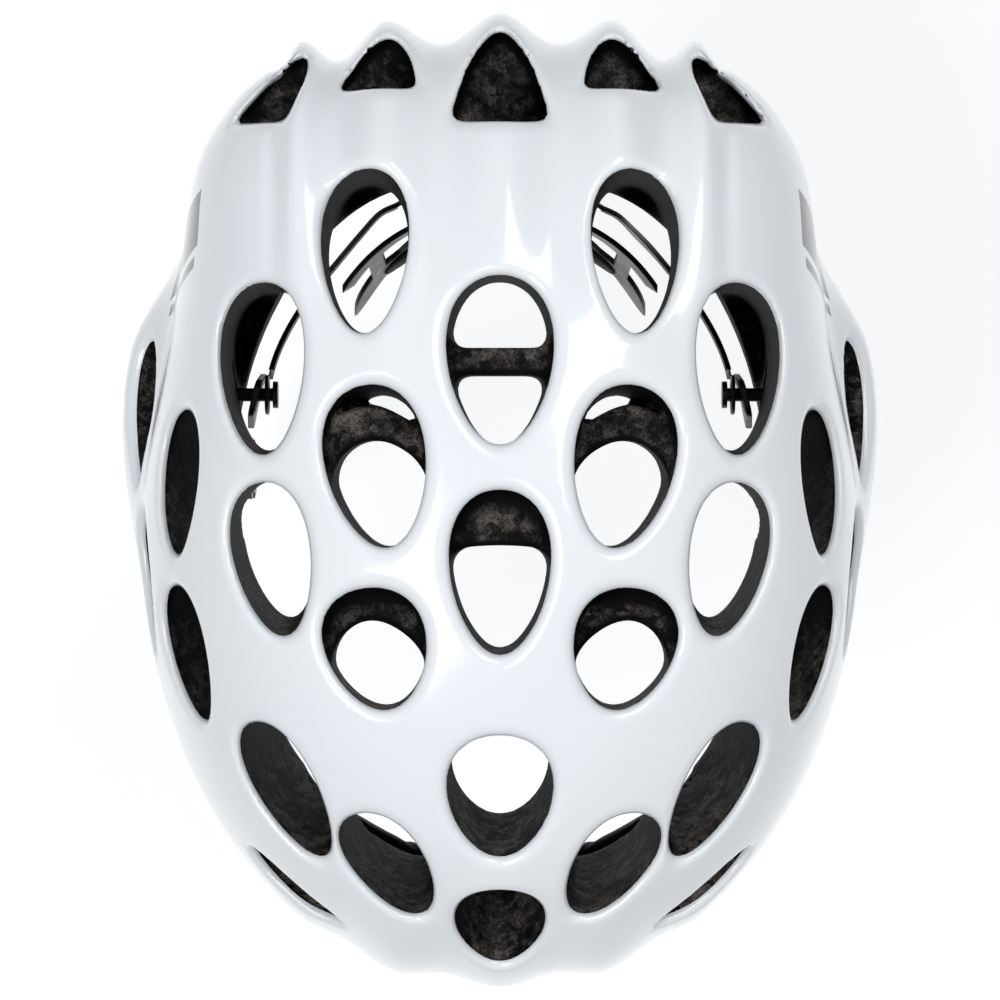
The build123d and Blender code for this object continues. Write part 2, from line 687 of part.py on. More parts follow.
def rack(side):
    """Toothed end of a band; the right one runs under the pinion, the left one over it."""
    pitch_line = DIAL_Z - side * RACK_PITCH_RADIUS
    with BuildPart() as body:
        with BuildSketch(Plane.XZ.offset(-RACK_Y - RACK_THICKNESS / 2)):
            middle_x = side * (RACK_OUTER_END - RACK_INNER_END) / 2
            middle_z = pitch_line - side * (TOOTH_DEPTH + (RACK_HEIGHT - 1) / 2)
            with Locations((middle_x, middle_z)):
                Rectangle(RACK_OUTER_END + RACK_INNER_END, RACK_HEIGHT - 1)
            first = -side * (RACK_INNER_END - TOOTH_PITCH / 2)
            for k in range(int(RACK_TOOTHED / TOOTH_PITCH)):
                centre = (round(first / TOOTH_PITCH) + side * k + 0.5) * TOOTH_PITCH
                if abs(centre) < RACK_OUTER_END - 2:
                    Polygon(*tooth_points(centre, pitch_line, side), align=None)
        extrude(amount=RACK_THICKNESS)
    return body


save(rack(1), "rack_right")
save(rack(-1), "rack_left")

PINION_FRONT = 89.9
with BuildPart() as dial_pinion:
    with BuildSketch(housing_plane(PINION_FRONT)):
        Circle(RACK_PITCH_RADIUS - TOOTH_DEPTH - 0.15)
        with PolarLocations(0, TEETH):
            root_x = RACK_PITCH_RADIUS - TOOTH_DEPTH - 0.4
            tip_x = RACK_PITCH_RADIUS + TOOTH_DEPTH - 0.15
            Polygon((root_x, -0.45), (tip_x, -0.25), (tip_x, 0.25), (root_x, 0.45), align=None)
    extrude(amount=RATCHET_Y - RATCHET_WIDTH / 2 - PINION_FRONT)
    with BuildSketch(housing_plane(RATCHET_Y - RATCHET_WIDTH / 2)):
        Circle(RATCHET_RADIUS)
        with PolarLocations(RATCHET_RADIUS, 24):
            Circle(0.5, mode=Mode.SUBTRACT)
    extrude(amount=RATCHET_WIDTH)
    with BuildSketch(housing_plane(HOUSING_FRONT)):
        Circle(SHAFT_RADIUS)
    extrude(amount=KNOB_REAR - 2 - HOUSING_FRONT)
    with BuildSketch(housing_plane(KNOB_REAR - 8)):
        Circle(0.9)
    extrude(amount=8, mode=Mode.SUBTRACT)
save(dial_pinion, "dial_pinion")

SPRING_THICKNESS = 0.6
with BuildPart() as detent_spring:
    with BuildSketch(housing_plane(RATCHET_Y - RATCHET_WIDTH / 2)):
        spring_level = RATCHET_RADIUS + 0.1 + SPRING_THICKNESS / 2
        with Locations((0, spring_level), (0, -spring_level)):
            Rectangle(24, SPRING_THICKNESS)
        with Locations((12, 0), (-12, 0)):
            Rectangle(SPRING_THICKNESS * 2, 2 * (RATCHET_RADIUS + 0.1 + SPRING_THICKNESS))
    extrude(amount=RATCHET_WIDTH)
save(detent_spring, "detent_spring")

# Knob, its rubber grip and its screw
GRIP_THICKNESS = 2.0
GRIP_RIBS = 24
with BuildPart() as dial_knob:
    with BuildSketch(housing_plane(KNOB_FRONT)):
        Circle(KNOB_RADIUS - GRIP_THICKNESS)
    extrude(amount=KNOB_REAR - KNOB_FRONT)
    chamfer(dial_knob.edges().group_by(Axis.Y)[-1], 1.2)
    with BuildSketch(housing_plane(KNOB_REAR - 1.6)):
        Circle(8)
    extrude(amount=2, mode=Mode.SUBTRACT)
    with BuildSketch(housing_plane(KNOB_FRONT)):
        Circle(SHAFT_RADIUS)
    extrude(amount=20, mode=Mode.SUBTRACT)
    with BuildSketch(housing_plane(KNOB_FRONT)):
        Circle(KNOB_RADIUS - GRIP_THICKNESS - 2.0)
        Circle(5, mode=Mode.SUBTRACT)
    extrude(amount=7, mode=Mode.SUBTRACT)
save(dial_knob, "dial_knob")

with BuildPart() as dial_grip:
    with BuildSketch(housing_plane(KNOB_FRONT + 1)):
        Circle(KNOB_RADIUS - 0.6)
        with PolarLocations(KNOB_RADIUS - 0.7, GRIP_RIBS):
            Circle(0.7)
        Circle(KNOB_RADIUS - GRIP_THICKNESS, mode=Mode.SUBTRACT)
    extrude(amount=KNOB_REAR - KNOB_FRONT - 3)
save(dial_grip, "dial_grip")

with BuildPart() as dial_screw:
    with BuildSketch(housing_plane(KNOB_REAR - 1.6)):
        Circle(3.4)
    extrude(amount=1.2)
    with BuildSketch(housing_plane(KNOB_REAR - 7)):
        Circle(0.9)
    extrude(amount=6)
    with BuildSketch(housing_plane(KNOB_REAR - 0.9)):
        RegularPolygon(1.2, 6)
    extrude(amount=1, mode=Mode.SUBTRACT)
save(dial_screw, "dial_screw")

# ---------------------------------------------------------------- straps
LAYER_OFFSET = 0.75        # each layer's middle from the middle of the pair
STRAP_FOLD_RISE = 8.0      # height of the fold above the end of a side strap
DIVIDER_Z = -58.0          # middle of the strap dividers
DIVIDER_HEIGHT = 18.0
DIVIDER_WIDTH = 27.0
DIVIDER_THICKNESS = 8.0
SWING_Z = DIVIDER_Z - DIVIDER_HEIGHT / 2 - 3
BAR_RADIUS = 1.0           # round bar that each chin strap hangs from
BAR_LUG_Y = 10.0           # the bar's lugs on each side of the strap
LEFT_STRAP_END = -232.0
RIGHT_STRAP_END = -112.0


def side_strap(side, anchor, layer):
    """Webbing from an anchor in the foam down into the strap divider."""
    end_y, end_z, _ = anchor
    middle = side * (STRAP_X + layer * LAYER_OFFSET)
    foot_z = DIVIDER_Z + DIVIDER_HEIGHT / 2 - 2
    run = Vector(STRAP_Y - end_y, foot_z + STRAP_FOLD_RISE - end_z, 0).normalized()
    half = STRAP_WIDTH / 2
    step_y = -run.Y * half
    step_z = run.X * half
    if step_y < 0:
        step_y = -step_y
        step_z = -step_z
    front_edge = STRAP_Y - half
    rear_edge = STRAP_Y + half
    fold_z = foot_z + STRAP_FOLD_RISE
    with BuildPart() as body:
        with BuildSketch(Plane.YZ.offset(middle - STRAP_THICKNESS / 2)):
            Polygon((end_y - step_y, end_z - step_z), (end_y + step_y, end_z + step_z),
                    (rear_edge, fold_z), (rear_edge, foot_z),
                    (front_edge, foot_z), (front_edge, fold_z), align=None)
        extrude(amount=STRAP_THICKNESS)
    return body


for side, side_name in ((1, "right"), (-1, "left")):
    save(side_strap(side, FRONT_ANCHOR, 1), f"front_strap_{side_name}")
    save(side_strap(side, REAR_ANCHOR, -1), f"rear_strap_{side_name}")

with BuildPart() as strap_anchors:
    for side in (1, -1):
        for _, strap_z, anchor_y in (FRONT_ANCHOR, REAR_ANCHOR):
            with Locations((side * STRAP_X, anchor_y, strap_z + ANCHOR_RISE)):
                Box(*ANCHOR_SIZE)
save(strap_anchors, "strap_anchors")

SLOT_THICKNESS = 3.6
LEVER_SIZE = (1.8, 16.0, 13.0)
LEVER_PIN_RADIUS = 0.9
LEVER_PIN_Z = DIVIDER_Z + DIVIDER_HEIGHT / 2 - 3.0
LEVER_PIN_X = STRAP_X + DIVIDER_THICKNESS / 2 + 1.6


def strap_divider(side):
    """Flat block the two straps run through, with lugs for its locking lever."""
    foot_z = DIVIDER_Z - DIVIDER_HEIGHT / 2 + 1
    with BuildPart() as body:
        with BuildSketch(Plane.YZ.offset(side * (STRAP_X - DIVIDER_THICKNESS / 2))):
            with Locations((STRAP_Y, DIVIDER_Z)):
                RectangleRounded(DIVIDER_WIDTH, DIVIDER_HEIGHT, 4)
        extrude(amount=side * DIVIDER_THICKNESS)
        with Locations((side * STRAP_X, STRAP_Y, DIVIDER_Z)):
            Box(SLOT_THICKNESS, STRAP_WIDTH + 1, 2 * DIVIDER_HEIGHT, mode=Mode.SUBTRACT)
        for lug_y in (STRAP_Y - 10.5, STRAP_Y + 10.5):
            with Locations((side * (LEVER_PIN_X - 0.4), lug_y, LEVER_PIN_Z)):
                Box(4.0, 2.4, 4.6)
        for lug_y in (STRAP_Y - BAR_LUG_Y, STRAP_Y + BAR_LUG_Y):
            with Locations((side * STRAP_X, lug_y, (SWING_Z - 2 + foot_z) / 2)):
                Box(4.0, 2.4, foot_z - SWING_Z + 2)
    return body


def divider_lever(side):
    """Cam lever that locks the straps; it opens outwards about its pin."""
    with BuildPart() as body:
        with Locations((side * LEVER_PIN_X, STRAP_Y, LEVER_PIN_Z - LEVER_SIZE[2] / 2 + 1.0)):
            Box(*LEVER_SIZE)
        with BuildSketch(Plane.XZ.offset(-STRAP_Y)):
            with Locations((side * LEVER_PIN_X, LEVER_PIN_Z)):
                Circle(1.5)
        extrude(amount=LEVER_SIZE[1] / 2, both=True)
        with BuildSketch(Plane.XZ.offset(-STRAP_Y)):
            with Locations((side * LEVER_PIN_X, LEVER_PIN_Z)):
                Circle(LEVER_PIN_RADIUS + RUNNING_GAP)
        extrude(amount=20, both=True, mode=Mode.SUBTRACT)
    return body


with BuildPart() as lever_pins:
    for side in (1, -1):
        with BuildSketch(Plane.XZ.offset(-STRAP_Y)):
            with Locations((side * LEVER_PIN_X, LEVER_PIN_Z)):
                Circle(LEVER_PIN_RADIUS)
        extrude(amount=11.7, both=True)
save(lever_pins, "lever_pins")

with BuildPart() as strap_bars:
    for side in (1, -1):
        with BuildSketch(Plane.XZ.offset(-STRAP_Y)):
            with Locations((side * STRAP_X, SWING_Z)):
                Circle(BAR_RADIUS)
        extrude(amount=BAR_LUG_Y + 1.2, both=True)
save(strap_bars, "strap_bars")

for side, side_name in ((1, "right"), (-1, "left")):
    save(strap_divider(side), f"strap_divider_{side_name}")
    save(divider_lever(side), f"divider_lever_{side_name}")


def chin_strap(side, end_z):
    """Doubled webbing that hangs in a loop from its bar under the divider."""
    top = SWING_Z - BAR_RADIUS - STRAP_THICKNESS / 2
    with BuildPart() as body:
        with BuildSketch(Plane.XZ.offset(-STRAP_Y)):
            with Locations((side * STRAP_X, SWING_Z)):
                Circle(BAR_RADIUS + RUNNING_GAP + STRAP_THICKNESS)
                Circle(BAR_RADIUS + RUNNING_GAP, mode=Mode.SUBTRACT)
        extrude(amount=STRAP_WIDTH / 2, both=True)
        for layer in (1, -1):
            centre = (side * (STRAP_X + layer * LAYER_OFFSET), STRAP_Y, (top + end_z) / 2)
            with Locations(centre):
                Box(STRAP_THICKNESS, STRAP_WIDTH, top - end_z)
        with Locations((side * STRAP_X, STRAP_Y, end_z + 1)):
            Box(STRAP_THICKNESS, STRAP_WIDTH, 2)
    return body


save(chin_strap(1, RIGHT_STRAP_END), "chin_strap_right")
save(chin_strap(-1, LEFT_STRAP_END), "chin_strap_left")

# Side-release buckle: the plug on the left strap, the socket on the right one
BUCKLE_WIDTH = 24.0
BUCKLE_THICKNESS = 9.0
SOCKET_LENGTH = 27.0
SOCKET_MOUTH = (19.0, 5.4)
PLUG_PLATE = 12.0
PRONG_LENGTH = 22.0
BUCKLE_OVERLAP = 8.0       # how far a strap reaches into its half of the buckle

with BuildPart() as buckle_socket:
    socket_top = RIGHT_STRAP_END + BUCKLE_OVERLAP
    with BuildSketch(Plane.YZ.offset(STRAP_X - BUCKLE_THICKNESS / 2)):
        with Locations((STRAP_Y, socket_top - SOCKET_LENGTH / 2 - 6)):
            RectangleRounded(BUCKLE_WIDTH, SOCKET_LENGTH + 12, 4)
        with Locations((STRAP_Y, socket_top - 4.5)):
            Rectangle(STRAP_WIDTH + 1, 5, mode=Mode.SUBTRACT)
    extrude(amount=BUCKLE_THICKNESS)
    with Locations((STRAP_X, STRAP_Y, socket_top)):
        Box(3.6, STRAP_WIDTH + 1, 24, mode=Mode.SUBTRACT)
    with Locations((STRAP_X, STRAP_Y, socket_top - SOCKET_LENGTH)):
        Box(SOCKET_MOUTH[1], SOCKET_MOUTH[0], 32, mode=Mode.SUBTRACT)
    for side in (1, -1):
        with Locations((STRAP_X, STRAP_Y + side * BUCKLE_WIDTH / 2, socket_top - 20)):
            Box(SOCKET_MOUTH[1], 6, 12, mode=Mode.SUBTRACT)
save(buckle_socket, "buckle_socket")

with BuildPart() as buckle_plug:
    plug_top = LEFT_STRAP_END + BUCKLE_OVERLAP
    with BuildSketch(Plane.YZ.offset(-STRAP_X - 2.4)):
        with Locations((STRAP_Y, plug_top - PLUG_PLATE / 2)):
            RectangleRounded(BUCKLE_WIDTH - 2, PLUG_PLATE, 3)
        for side in (1, -1):
            root_y = STRAP_Y + side * 7.2
            foot = plug_top - PLUG_PLATE
            Polygon((root_y - 1.2, foot + 1), (root_y + 1.2, foot + 1),
                    (root_y + 1.2, foot - PRONG_LENGTH), (root_y - 1.2, foot - PRONG_LENGTH), align=None)
            Polygon((root_y + side * 0.6, foot - 10), (root_y + side * 3.4, foot - 11),
                    (root_y + side * 1.2, foot - PRONG_LENGTH), (root_y - side * 0.6, foot - PRONG_LENGTH),
                    align=None)
        with Locations((STRAP_Y, foot - 8)):
            Rectangle(3, 18)
    extrude(amount=4.8)
    with Locations((-STRAP_X, STRAP_Y, plug_top)):
        Box(3.6, STRAP_WIDTH + 1, 17, mode=Mode.SUBTRACT)
save(buckle_plug, "buckle_plug")

# What slides along the left chin strap
SLIDER_Z = -196.0
KEEPER_Z = -176.0
CHIN_PAD_Z = -130.0
CHIN_PAD_LENGTH = 56.0
with BuildPart() as strap_slider:
    with Locations((-STRAP_X, STRAP_Y, SLIDER_Z)):
        Box(6.4, 20, 11)
        Box(SLOT_THICKNESS, STRAP_WIDTH + 1, 40, mode=Mode.SUBTRACT)
save(strap_slider, "strap_slider")

with BuildPart() as keeper_ring:
    with Locations((-STRAP_X, STRAP_Y, KEEPER_Z)):
        Box(6.8, 19.4, 4)
        Box(SLOT_THICKNESS, STRAP_WIDTH + 1, 40, mode=Mode.SUBTRACT)
save(keeper_ring, "keeper_ring")

with BuildPart() as chin_pad:
    with Locations((-STRAP_X, STRAP_Y, CHIN_PAD_Z)):
        Box(8.0, 24, CHIN_PAD_LENGTH)
        Box(SLOT_THICKNESS, STRAP_WIDTH + 1, 100, mode=Mode.SUBTRACT)
save(chin_pad, "chin_pad")
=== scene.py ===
import json
import math

import bpy
import numpy as np
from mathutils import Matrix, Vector


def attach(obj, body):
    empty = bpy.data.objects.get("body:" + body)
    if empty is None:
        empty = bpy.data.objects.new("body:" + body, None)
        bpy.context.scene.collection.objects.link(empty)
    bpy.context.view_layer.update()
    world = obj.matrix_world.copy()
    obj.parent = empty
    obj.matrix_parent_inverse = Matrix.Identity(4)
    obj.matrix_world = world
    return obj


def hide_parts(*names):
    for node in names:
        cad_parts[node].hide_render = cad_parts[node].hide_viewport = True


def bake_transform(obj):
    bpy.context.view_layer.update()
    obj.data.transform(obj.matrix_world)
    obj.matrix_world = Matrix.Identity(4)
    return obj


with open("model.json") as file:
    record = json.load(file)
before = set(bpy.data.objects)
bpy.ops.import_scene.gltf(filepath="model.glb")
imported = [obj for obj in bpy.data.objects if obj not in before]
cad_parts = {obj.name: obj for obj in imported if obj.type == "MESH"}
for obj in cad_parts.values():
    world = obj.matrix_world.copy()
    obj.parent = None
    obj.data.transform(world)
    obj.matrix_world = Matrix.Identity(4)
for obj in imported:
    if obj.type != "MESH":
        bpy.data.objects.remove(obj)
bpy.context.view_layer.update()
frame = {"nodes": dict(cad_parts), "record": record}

# Cycling helmet. The forms below are worked out in millimetres and turned into metres when a
# mesh is made. +Z is up, +Y is the back of the head, X runs across it.
MM = 0.001

# ---------------------------------------------------------------- helmet forms
SHELL_FRONT = 142.5
SHELL_REAR = 139.0
SHELL_HALF_WIDTH = 106.5
CROWN_HEIGHT = 150.0
REAR_TAPER = 12.5          # how much narrower each side is towards the back
WING_FLARE = 12.5          # flare of the sides behind the temples
RIDGE_SPACING = 33.5       # of the ridges that run out over the rear ports
RIDGE_HEIGHT = 3.8
REAR_TUCK = 2.8            # how far the back is drawn in below the ridges
LOBE_SPACING = 31.0        # of the scallops along the front edge
LOBE_HEIGHT = 1.4
CAVITY_HALF_WIDTH = 80.0
CAVITY_FRONT = 114.0
CAVITY_REAR = 101.0
CAVITY_TOP = 119.0
CAVITY_SHOULDER = 12.0
CAVITY_POWER = 2.2
RIM_LINE = [(-150, 36), (-120, 28), (-90, 15), (-55, 8), (-20, 12), (10, 16), (38, 8),
            (62, 0), (85, 2), (105, 6), (125, 10), (150, 16)]
LOWER_SHELL_DROP = 20.0
SEAM_GAP = 0.5
SKIN = 1.05                # thickness of the moulded shell
FOAM_GAP = 1.15            # foam below the shell's outer surface
LIP_DEPTH = 2.6            # how far the shell rolls into a vent
LIP_ROUND = 4.6


def ramp(start, end, value):
    t = np.clip((value - start) / (end - start), 0.0, 1.0)
    return t * t * (3 - 2 * t)


def smooth_max(a, b, width):
    """Larger of two fields, rounded where they meet."""
    overlap = np.maximum(width - np.abs(a - b), 0) / width
    return np.maximum(a, b) + overlap * overlap * width / 4


def outer_form(x, y, z):
    """Distance outside the shell, negative within it."""
    rear = ramp(-20, 110, y)
    half_width = SHELL_HALF_WIDTH - REAR_TAPER * ramp(-15, 85, y)
    half_length = np.where(y < 0, SHELL_FRONT, SHELL_REAR)
    waist = 40 + 30 * ramp(20, 130, y)
    half_height = np.where(z > waist, CROWN_HEIGHT - waist, 115.0)
    plan_power = 2.15 + 2.05 * rear
    side_power = 2.15 + 0.25 * rear
    plan = np.abs(x / half_width) ** plan_power + np.abs(y / half_length) ** plan_power
    height = np.abs((z - waist) / half_height) ** side_power
    size = (plan ** (side_power / plan_power) + height) ** (1 / side_power)
    radius = np.sqrt(x * x + y * y + (z - waist) ** 2)
    across = np.abs(x)
    wing = WING_FLARE * ramp(-30, 45, y) * (1 - ramp(44, 84, y)) * (1 - ramp(38, 64, z))
    wing = wing * ramp(50, 88, across)
    phase = 2 * np.pi * (across + 0.01 * np.maximum(across - 25, 0) ** 2) / RIDGE_SPACING
    wave = np.cos(phase) - 0.25 * (1 - np.cos(phase)) * ramp(95, 130, y)
    flutes = RIDGE_HEIGHT * wave * ramp(25, 125, y) * (1 - ramp(58, 67, across)) * ramp(30, 60, z)
    corner = 4.2 * ramp(14, 54, across) + 0.9 * ramp(57, 71, across)
    flutes = flutes - corner * (1 - ramp(80, 97, across)) * ramp(82, 124, y)
    flutes = flutes - REAR_TUCK * ramp(112, 138, y)
    lobes = LOBE_HEIGHT * np.cos(2 * np.pi * x / LOBE_SPACING) * (1 - ramp(-135, -90, y))
    lobes = lobes * (1 - ramp(45, 75, across))
    return radius * (1 - 1 / np.maximum(size, 1e-6)) - wing - flutes - lobes


def cavity_form(x, y, z):
    """Distance outside the head cavity, negative within it."""
    half_length = np.where(y < 0, CAVITY_FRONT, CAVITY_REAR)
    rise = np.maximum(z - CAVITY_SHOULDER, 0)
    plan = np.abs(x / CAVITY_HALF_WIDTH) ** CAVITY_POWER + np.abs(y / half_length) ** CAVITY_POWER
    height = (rise / (CAVITY_TOP - CAVITY_SHOULDER)) ** CAVITY_POWER
    size = (plan + height) ** (1 / CAVITY_POWER)
    return np.sqrt(x * x + y * y + rise * rise + 1e-9) * (1 - 1 / np.maximum(size, 1e-6))


def curve_through(points, samples):
    """Points of a smooth curve through some points of a plane, evenly spread between them."""
    p = np.array(points, float)
    ends = np.vstack([2 * p[0] - p[1], p, 2 * p[-1] - p[-2]])
    run = []
    for k in range(len(p) - 1):
        a, b, c, d = ends[k], ends[k + 1], ends[k + 2], ends[k + 3]
        for t in np.arange(samples) / samples:
            run.append(0.5 * (2 * b + (c - a) * t + (2 * a - 5 * b + 4 * c - d) * t * t
                              + (3 * b - a - 3 * c + d) * t ** 3))
    run.append(p[-1])
    return np.array(run)


RIM_CURVE = curve_through(RIM_LINE, 12)


def rim_height(y):
    return np.interp(y, RIM_CURVE[:, 0], RIM_CURVE[:, 1])


# ---------------------------------------------------------------- vents
# name: (x, y, half width, half length, lean), (inner x, y, z, half width, half length), kind
# name: outer mouth (x, y, half width, half length, lean), inner mouth (x, y, z, half sizes), kind
VENTS = {
    "crown_rear": ((0, 38, 14.4, 23.1, 0), (0, 38, 110, 11.8, 22), "open"),
    "crown_front": ((0, -20, 13.6, 22.6, 0), (0, -20, 115, 11.4, 20), "open"),
    "front_centre": ((0, -83, 14.4, 19.6, 0), (0, -75, 92, 11.8, 15), "open"),
    "brow_centre": ((0, -123.5, 12.6, 19.5, 0), (0, -101, 62, 10, 10), "open"),
    "upper_rear": ((37, 68, 13.2, 22.9, 4), (38, 70, 78, 11.5, 21), "open"),
    "upper_middle": ((34, 9, 14.3, 22.4, 10), (33, 8, 110, 12.3, 20), "open"),
    "upper_front": ((34, -41, 14.6, 17.2, 8), (34, -43, 101, 12.9, 14), "open"),
    "brow_side": ((31, -103.5, 11.7, 19.5, 14), (30, -94, 62, 9.7, 13), "open"),
    "side_rear": ((66, 36, 15.5, 23.8, 7), (67, 38, 62, 14.4, 22), "open"),
    "side_middle": ((63, -17, 13.3, 21.5, 12), (63, -14, 80, 12, 18), "open"),
    "side_front": ((60, -83, 12.6, 22.6, 14), (55, -72, 64, 10.5, 14), "open"),
    "temple_rear": ((92, 5, 12.3, 20.9, 5), (74, 2, 52, 8, 15), "open"),
    "temple_front": ((90, -44, 12.8, 19.8, 14), (69, -42, 52, 9, 15), "open"),
    "wing_slot": ((106, 26, 6.0, 21.0, 4), (78, 22, 37, 4, 17), "open"),
    "cheek_slot": ((103.5, -24, 10.5, 21.0, 4), (75, -21, 38, 6, 17), "open"),
    "brow_slot": ((59.5, -114, 6.5, 17.0, 56), (46, -88, 48, 4.5, 12), "open"),
    "port_centre": ((0, 118.7, 10.0, 13.9, 0), (0, 118.7, 90, 9, 12.5), "port"),
    "port_inner": ((33, 123, 8.2, 8.5, 0), (33, 122, 92, 7, 7), "port"),
    "port_outer": ((61.4, 115.6, 5.5, 9.6, 0), (62, 115.5, 86, 5.5, 8.5), "port"),
}
PORT_SHEAR = {"port_inner": 0.22, "port_outer": 0.64}
EGG = 0.18                 # how much wider a mouth is towards the back
PORT_EGG = -0.42
MOUTH_POWER = 2.1          # roundness of a mouth's rear half: 2 is an ellipse
FRONT_POWER = 2.0
PORT_FRONT_POWER = 7.0
RIBS = {  # cross ribs of foam in some of the vents: (y, half length, top, bow of its sides)
    "crown_rear": (38, 5, 130, 0.0),
    "crown_front": (-5, 9, 133, 0.006),
    "upper_middle": (21, 6, 128, 0.045),
    "upper_front": (-30, 5, 124, 0.05),
}
RIB_ROUND = 6.0
OVERRUN = 0.45             # share of its depth that a channel runs past its mouths


class Channel:
    """One vent: a tapering egg-shaped channel from the shell to the cavity."""

    def __init__(self, name, side):
        (x, y, self.wide, self.long, lean), inner, kind = VENTS[name]
        self.port = kind == "port"
        self.last = 1.0 if self.port else 1 + OVERRUN
        self.inner_wide, self.inner_long = inner[3:]
        self.rib = RIBS.get(name)
        self.shear = PORT_SHEAR.get(name, 0.0) * side
        low, high = 30.0, CROWN_HEIGHT + 5
        for _ in range(30):
            middle = (low + high) / 2
            low, high = (middle, high) if outer_form(side * x, y, middle) < 0 else (low, middle)
        self.start = np.array([side * x, y, low], float)
        self.run = np.array([side * inner[0], inner[1], inner[2]], float) - self.start
        step = np.eye(3) * 0.5
        slope = np.array([outer_form(*(self.start + s)) - outer_form(*(self.start - s)) for s in step])
        self.normal = np.array([0, 0, 1.0]) if self.port else slope / np.linalg.norm(slope)
        angle = math.radians(lean) * side
        along = np.array([math.sin(angle), math.cos(angle), 0.0])
        along -= self.normal * (along @ self.normal)
        self.along = along / np.linalg.norm(along)
        self.across = np.cross(self.along, self.normal)
        corners = []
        for t in (-OVERRUN, self.last):
            wide, long = self.size_at(t)
            for u in (-wide, wide):
                for v in (-long, long):
                    corners.append(self.start + self.run * t + self.across * u + self.along * v)
        self.low = np.min(corners, axis=0) - 9
        self.high = np.max(corners, axis=0) + 9

    def size_at(self, t):
        return (self.wide + (self.inner_wide - self.wide) * t,
                self.long + (self.inner_long - self.long) * t)

    def distance(self, x, y, z):
        """Distance outside the channel, negative within it."""
        px, py, pz = x - self.start[0], y - self.start[1], z - self.start[2]
        n, r = self.normal, self.run
        depth = float(r @ n)
        t = (px * n[0] + py * n[1] + pz * n[2]) / depth
        qx, qy, qz = px - t * r[0], py - t * r[1], pz - t * r[2]
        u = qx * self.across[0] + qy * self.across[1] + qz * self.across[2] + 1e-4
        v = qx * self.along[0] + qy * self.along[1] + qz * self.along[2]
        wide, long = self.size_at(np.clip(t, -OVERRUN, self.last))
        power = np.where(v < 0, PORT_FRONT_POWER if self.port else FRONT_POWER, MOUTH_POWER)
        wide = wide * (1 + (PORT_EGG if self.port else EGG) * np.clip(v / long, -1.1, 1.1))
        u = u + self.shear * v
        size = (np.abs(u / wide) ** power + np.abs(v / long) ** power) ** (1 / power)
        distance = np.sqrt(u * u + v * v) * (1 - 1 / np.maximum(size, 1e-7))
        distance = smooth_max(distance, (t - self.last) * abs(depth), 4.0)
        if self.rib:
            middle, half, top, bow = self.rib
            rib = smooth_max(np.abs(y - middle + bow * u * u) - half, z - top, 2.0)
            distance = smooth_max(distance, -rib, RIB_ROUND)
        return distance


CHANNELS = [Channel(name, side) for name, vent in VENTS.items()
            for side in ((1,) if vent[0][0] == 0 else (1, -1))]
FAR = 60.0


def vents_at(x, y, z):
    """Distance outside the nearest vent, for lists of points."""
    nearest = np.full(x.shape, FAR)
    for channel in CHANNELS:
        low, high = channel.low, channel.high
        close = ((x > low[0]) & (x < high[0]) & (y > low[1]) & (y < high[1])
                 & (z > low[2]) & (z < high[2]))
        if close.any():
            found = channel.distance(x[close], y[close], z[close])
            nearest[close] = np.minimum(nearest[close], found)
    return nearest


def shell_field(x, y, z):
    return smooth_max(outer_form(x, y, z), -vents_at(x, y, z), LIP_ROUND)


def foam_field(x, y, z):
    field = smooth_max(shell_field(x, y, z) + FOAM_GAP, -cavity_form(x, y, z), 3.0)
    return smooth_max(field, rim_height(y) - z, 3.0)


# ---------------------------------------------------------------- surfaces from fields
# a grid cell's twelve edges, as pairs of the corners below
EDGES = [(0, 4), (1, 5), (2, 6), (3, 7), (0, 2), (1, 3), (4, 6), (5, 7), (0, 1), (2, 3), (4, 5), (6, 7)]
SLOPE_REACH = 0.06
CORNERS = [(i, j, k) for i in (0, 1) for j in (0, 1) for k in (0, 1)]


def surface_net(values, low, step):
    """Quads of the zero surface of a grid of values, one point in each cell it crosses."""
    inside = values < 0
    nx, ny, nz = values.shape
    corner_inside = [inside[i:nx - 1 + i, j:ny - 1 + j, k:nz - 1 + k] for i, j, k in CORNERS]
    count = np.zeros(corner_inside[0].shape, np.int8)
    for c in corner_inside:
        count += c
    crossed = (count > 0) & (count < 8)
    cells = np.argwhere(crossed)
    number = np.full(crossed.shape, -1, np.int64)
    number[crossed] = np.arange(len(cells))
    corner_value = [values[i:nx - 1 + i, j:ny - 1 + j, k:nz - 1 + k][crossed].astype(float)
                    for i, j, k in CORNERS]
    total = np.zeros((len(cells), 3))
    hits = np.zeros(len(cells))
    for a, b in EDGES:
        va, vb = corner_value[a], corner_value[b]
        hit = (va < 0) != (vb < 0)
        t = np.where(hit, va / np.where(hit, va - vb, 1), 0)
        start, end = np.array(CORNERS[a], float), np.array(CORNERS[b], float)
        total += np.where(hit[:, None], start + t[:, None] * (end - start), 0)
        hits += hit
    points = np.array(low) + step * (cells + total / hits[:, None])
    quads = []
    for axis in range(3):
        head = [slice(1, -1)] * 3
        head[axis] = slice(0, -1)
        tail = [slice(1, -1)] * 3
        tail[axis] = slice(1, None)
        here, ahead = inside[tuple(head)], inside[tuple(tail)]
        change = here != ahead
        at = np.argwhere(change)
        at[:, [a for a in range(3) if a != axis]] += 1
        outward = here[change]
        first, second = [(1, 2), (2, 0), (0, 1)][axis]
        ring = []
        for back_first, back_second in ((1, 1), (0, 1), (0, 0), (1, 0)):
            cell = at.copy()
            cell[:, first] -= back_first
            cell[:, second] -= back_second
            ring.append(number[cell[:, 0], cell[:, 1], cell[:, 2]])
        ring = np.stack(ring, axis=1)
        ring[~outward] = ring[~outward][:, ::-1]
        quads.append(ring)
    quads = np.concatenate(quads)
    return points, quads[(quads >= 0).all(axis=1)]


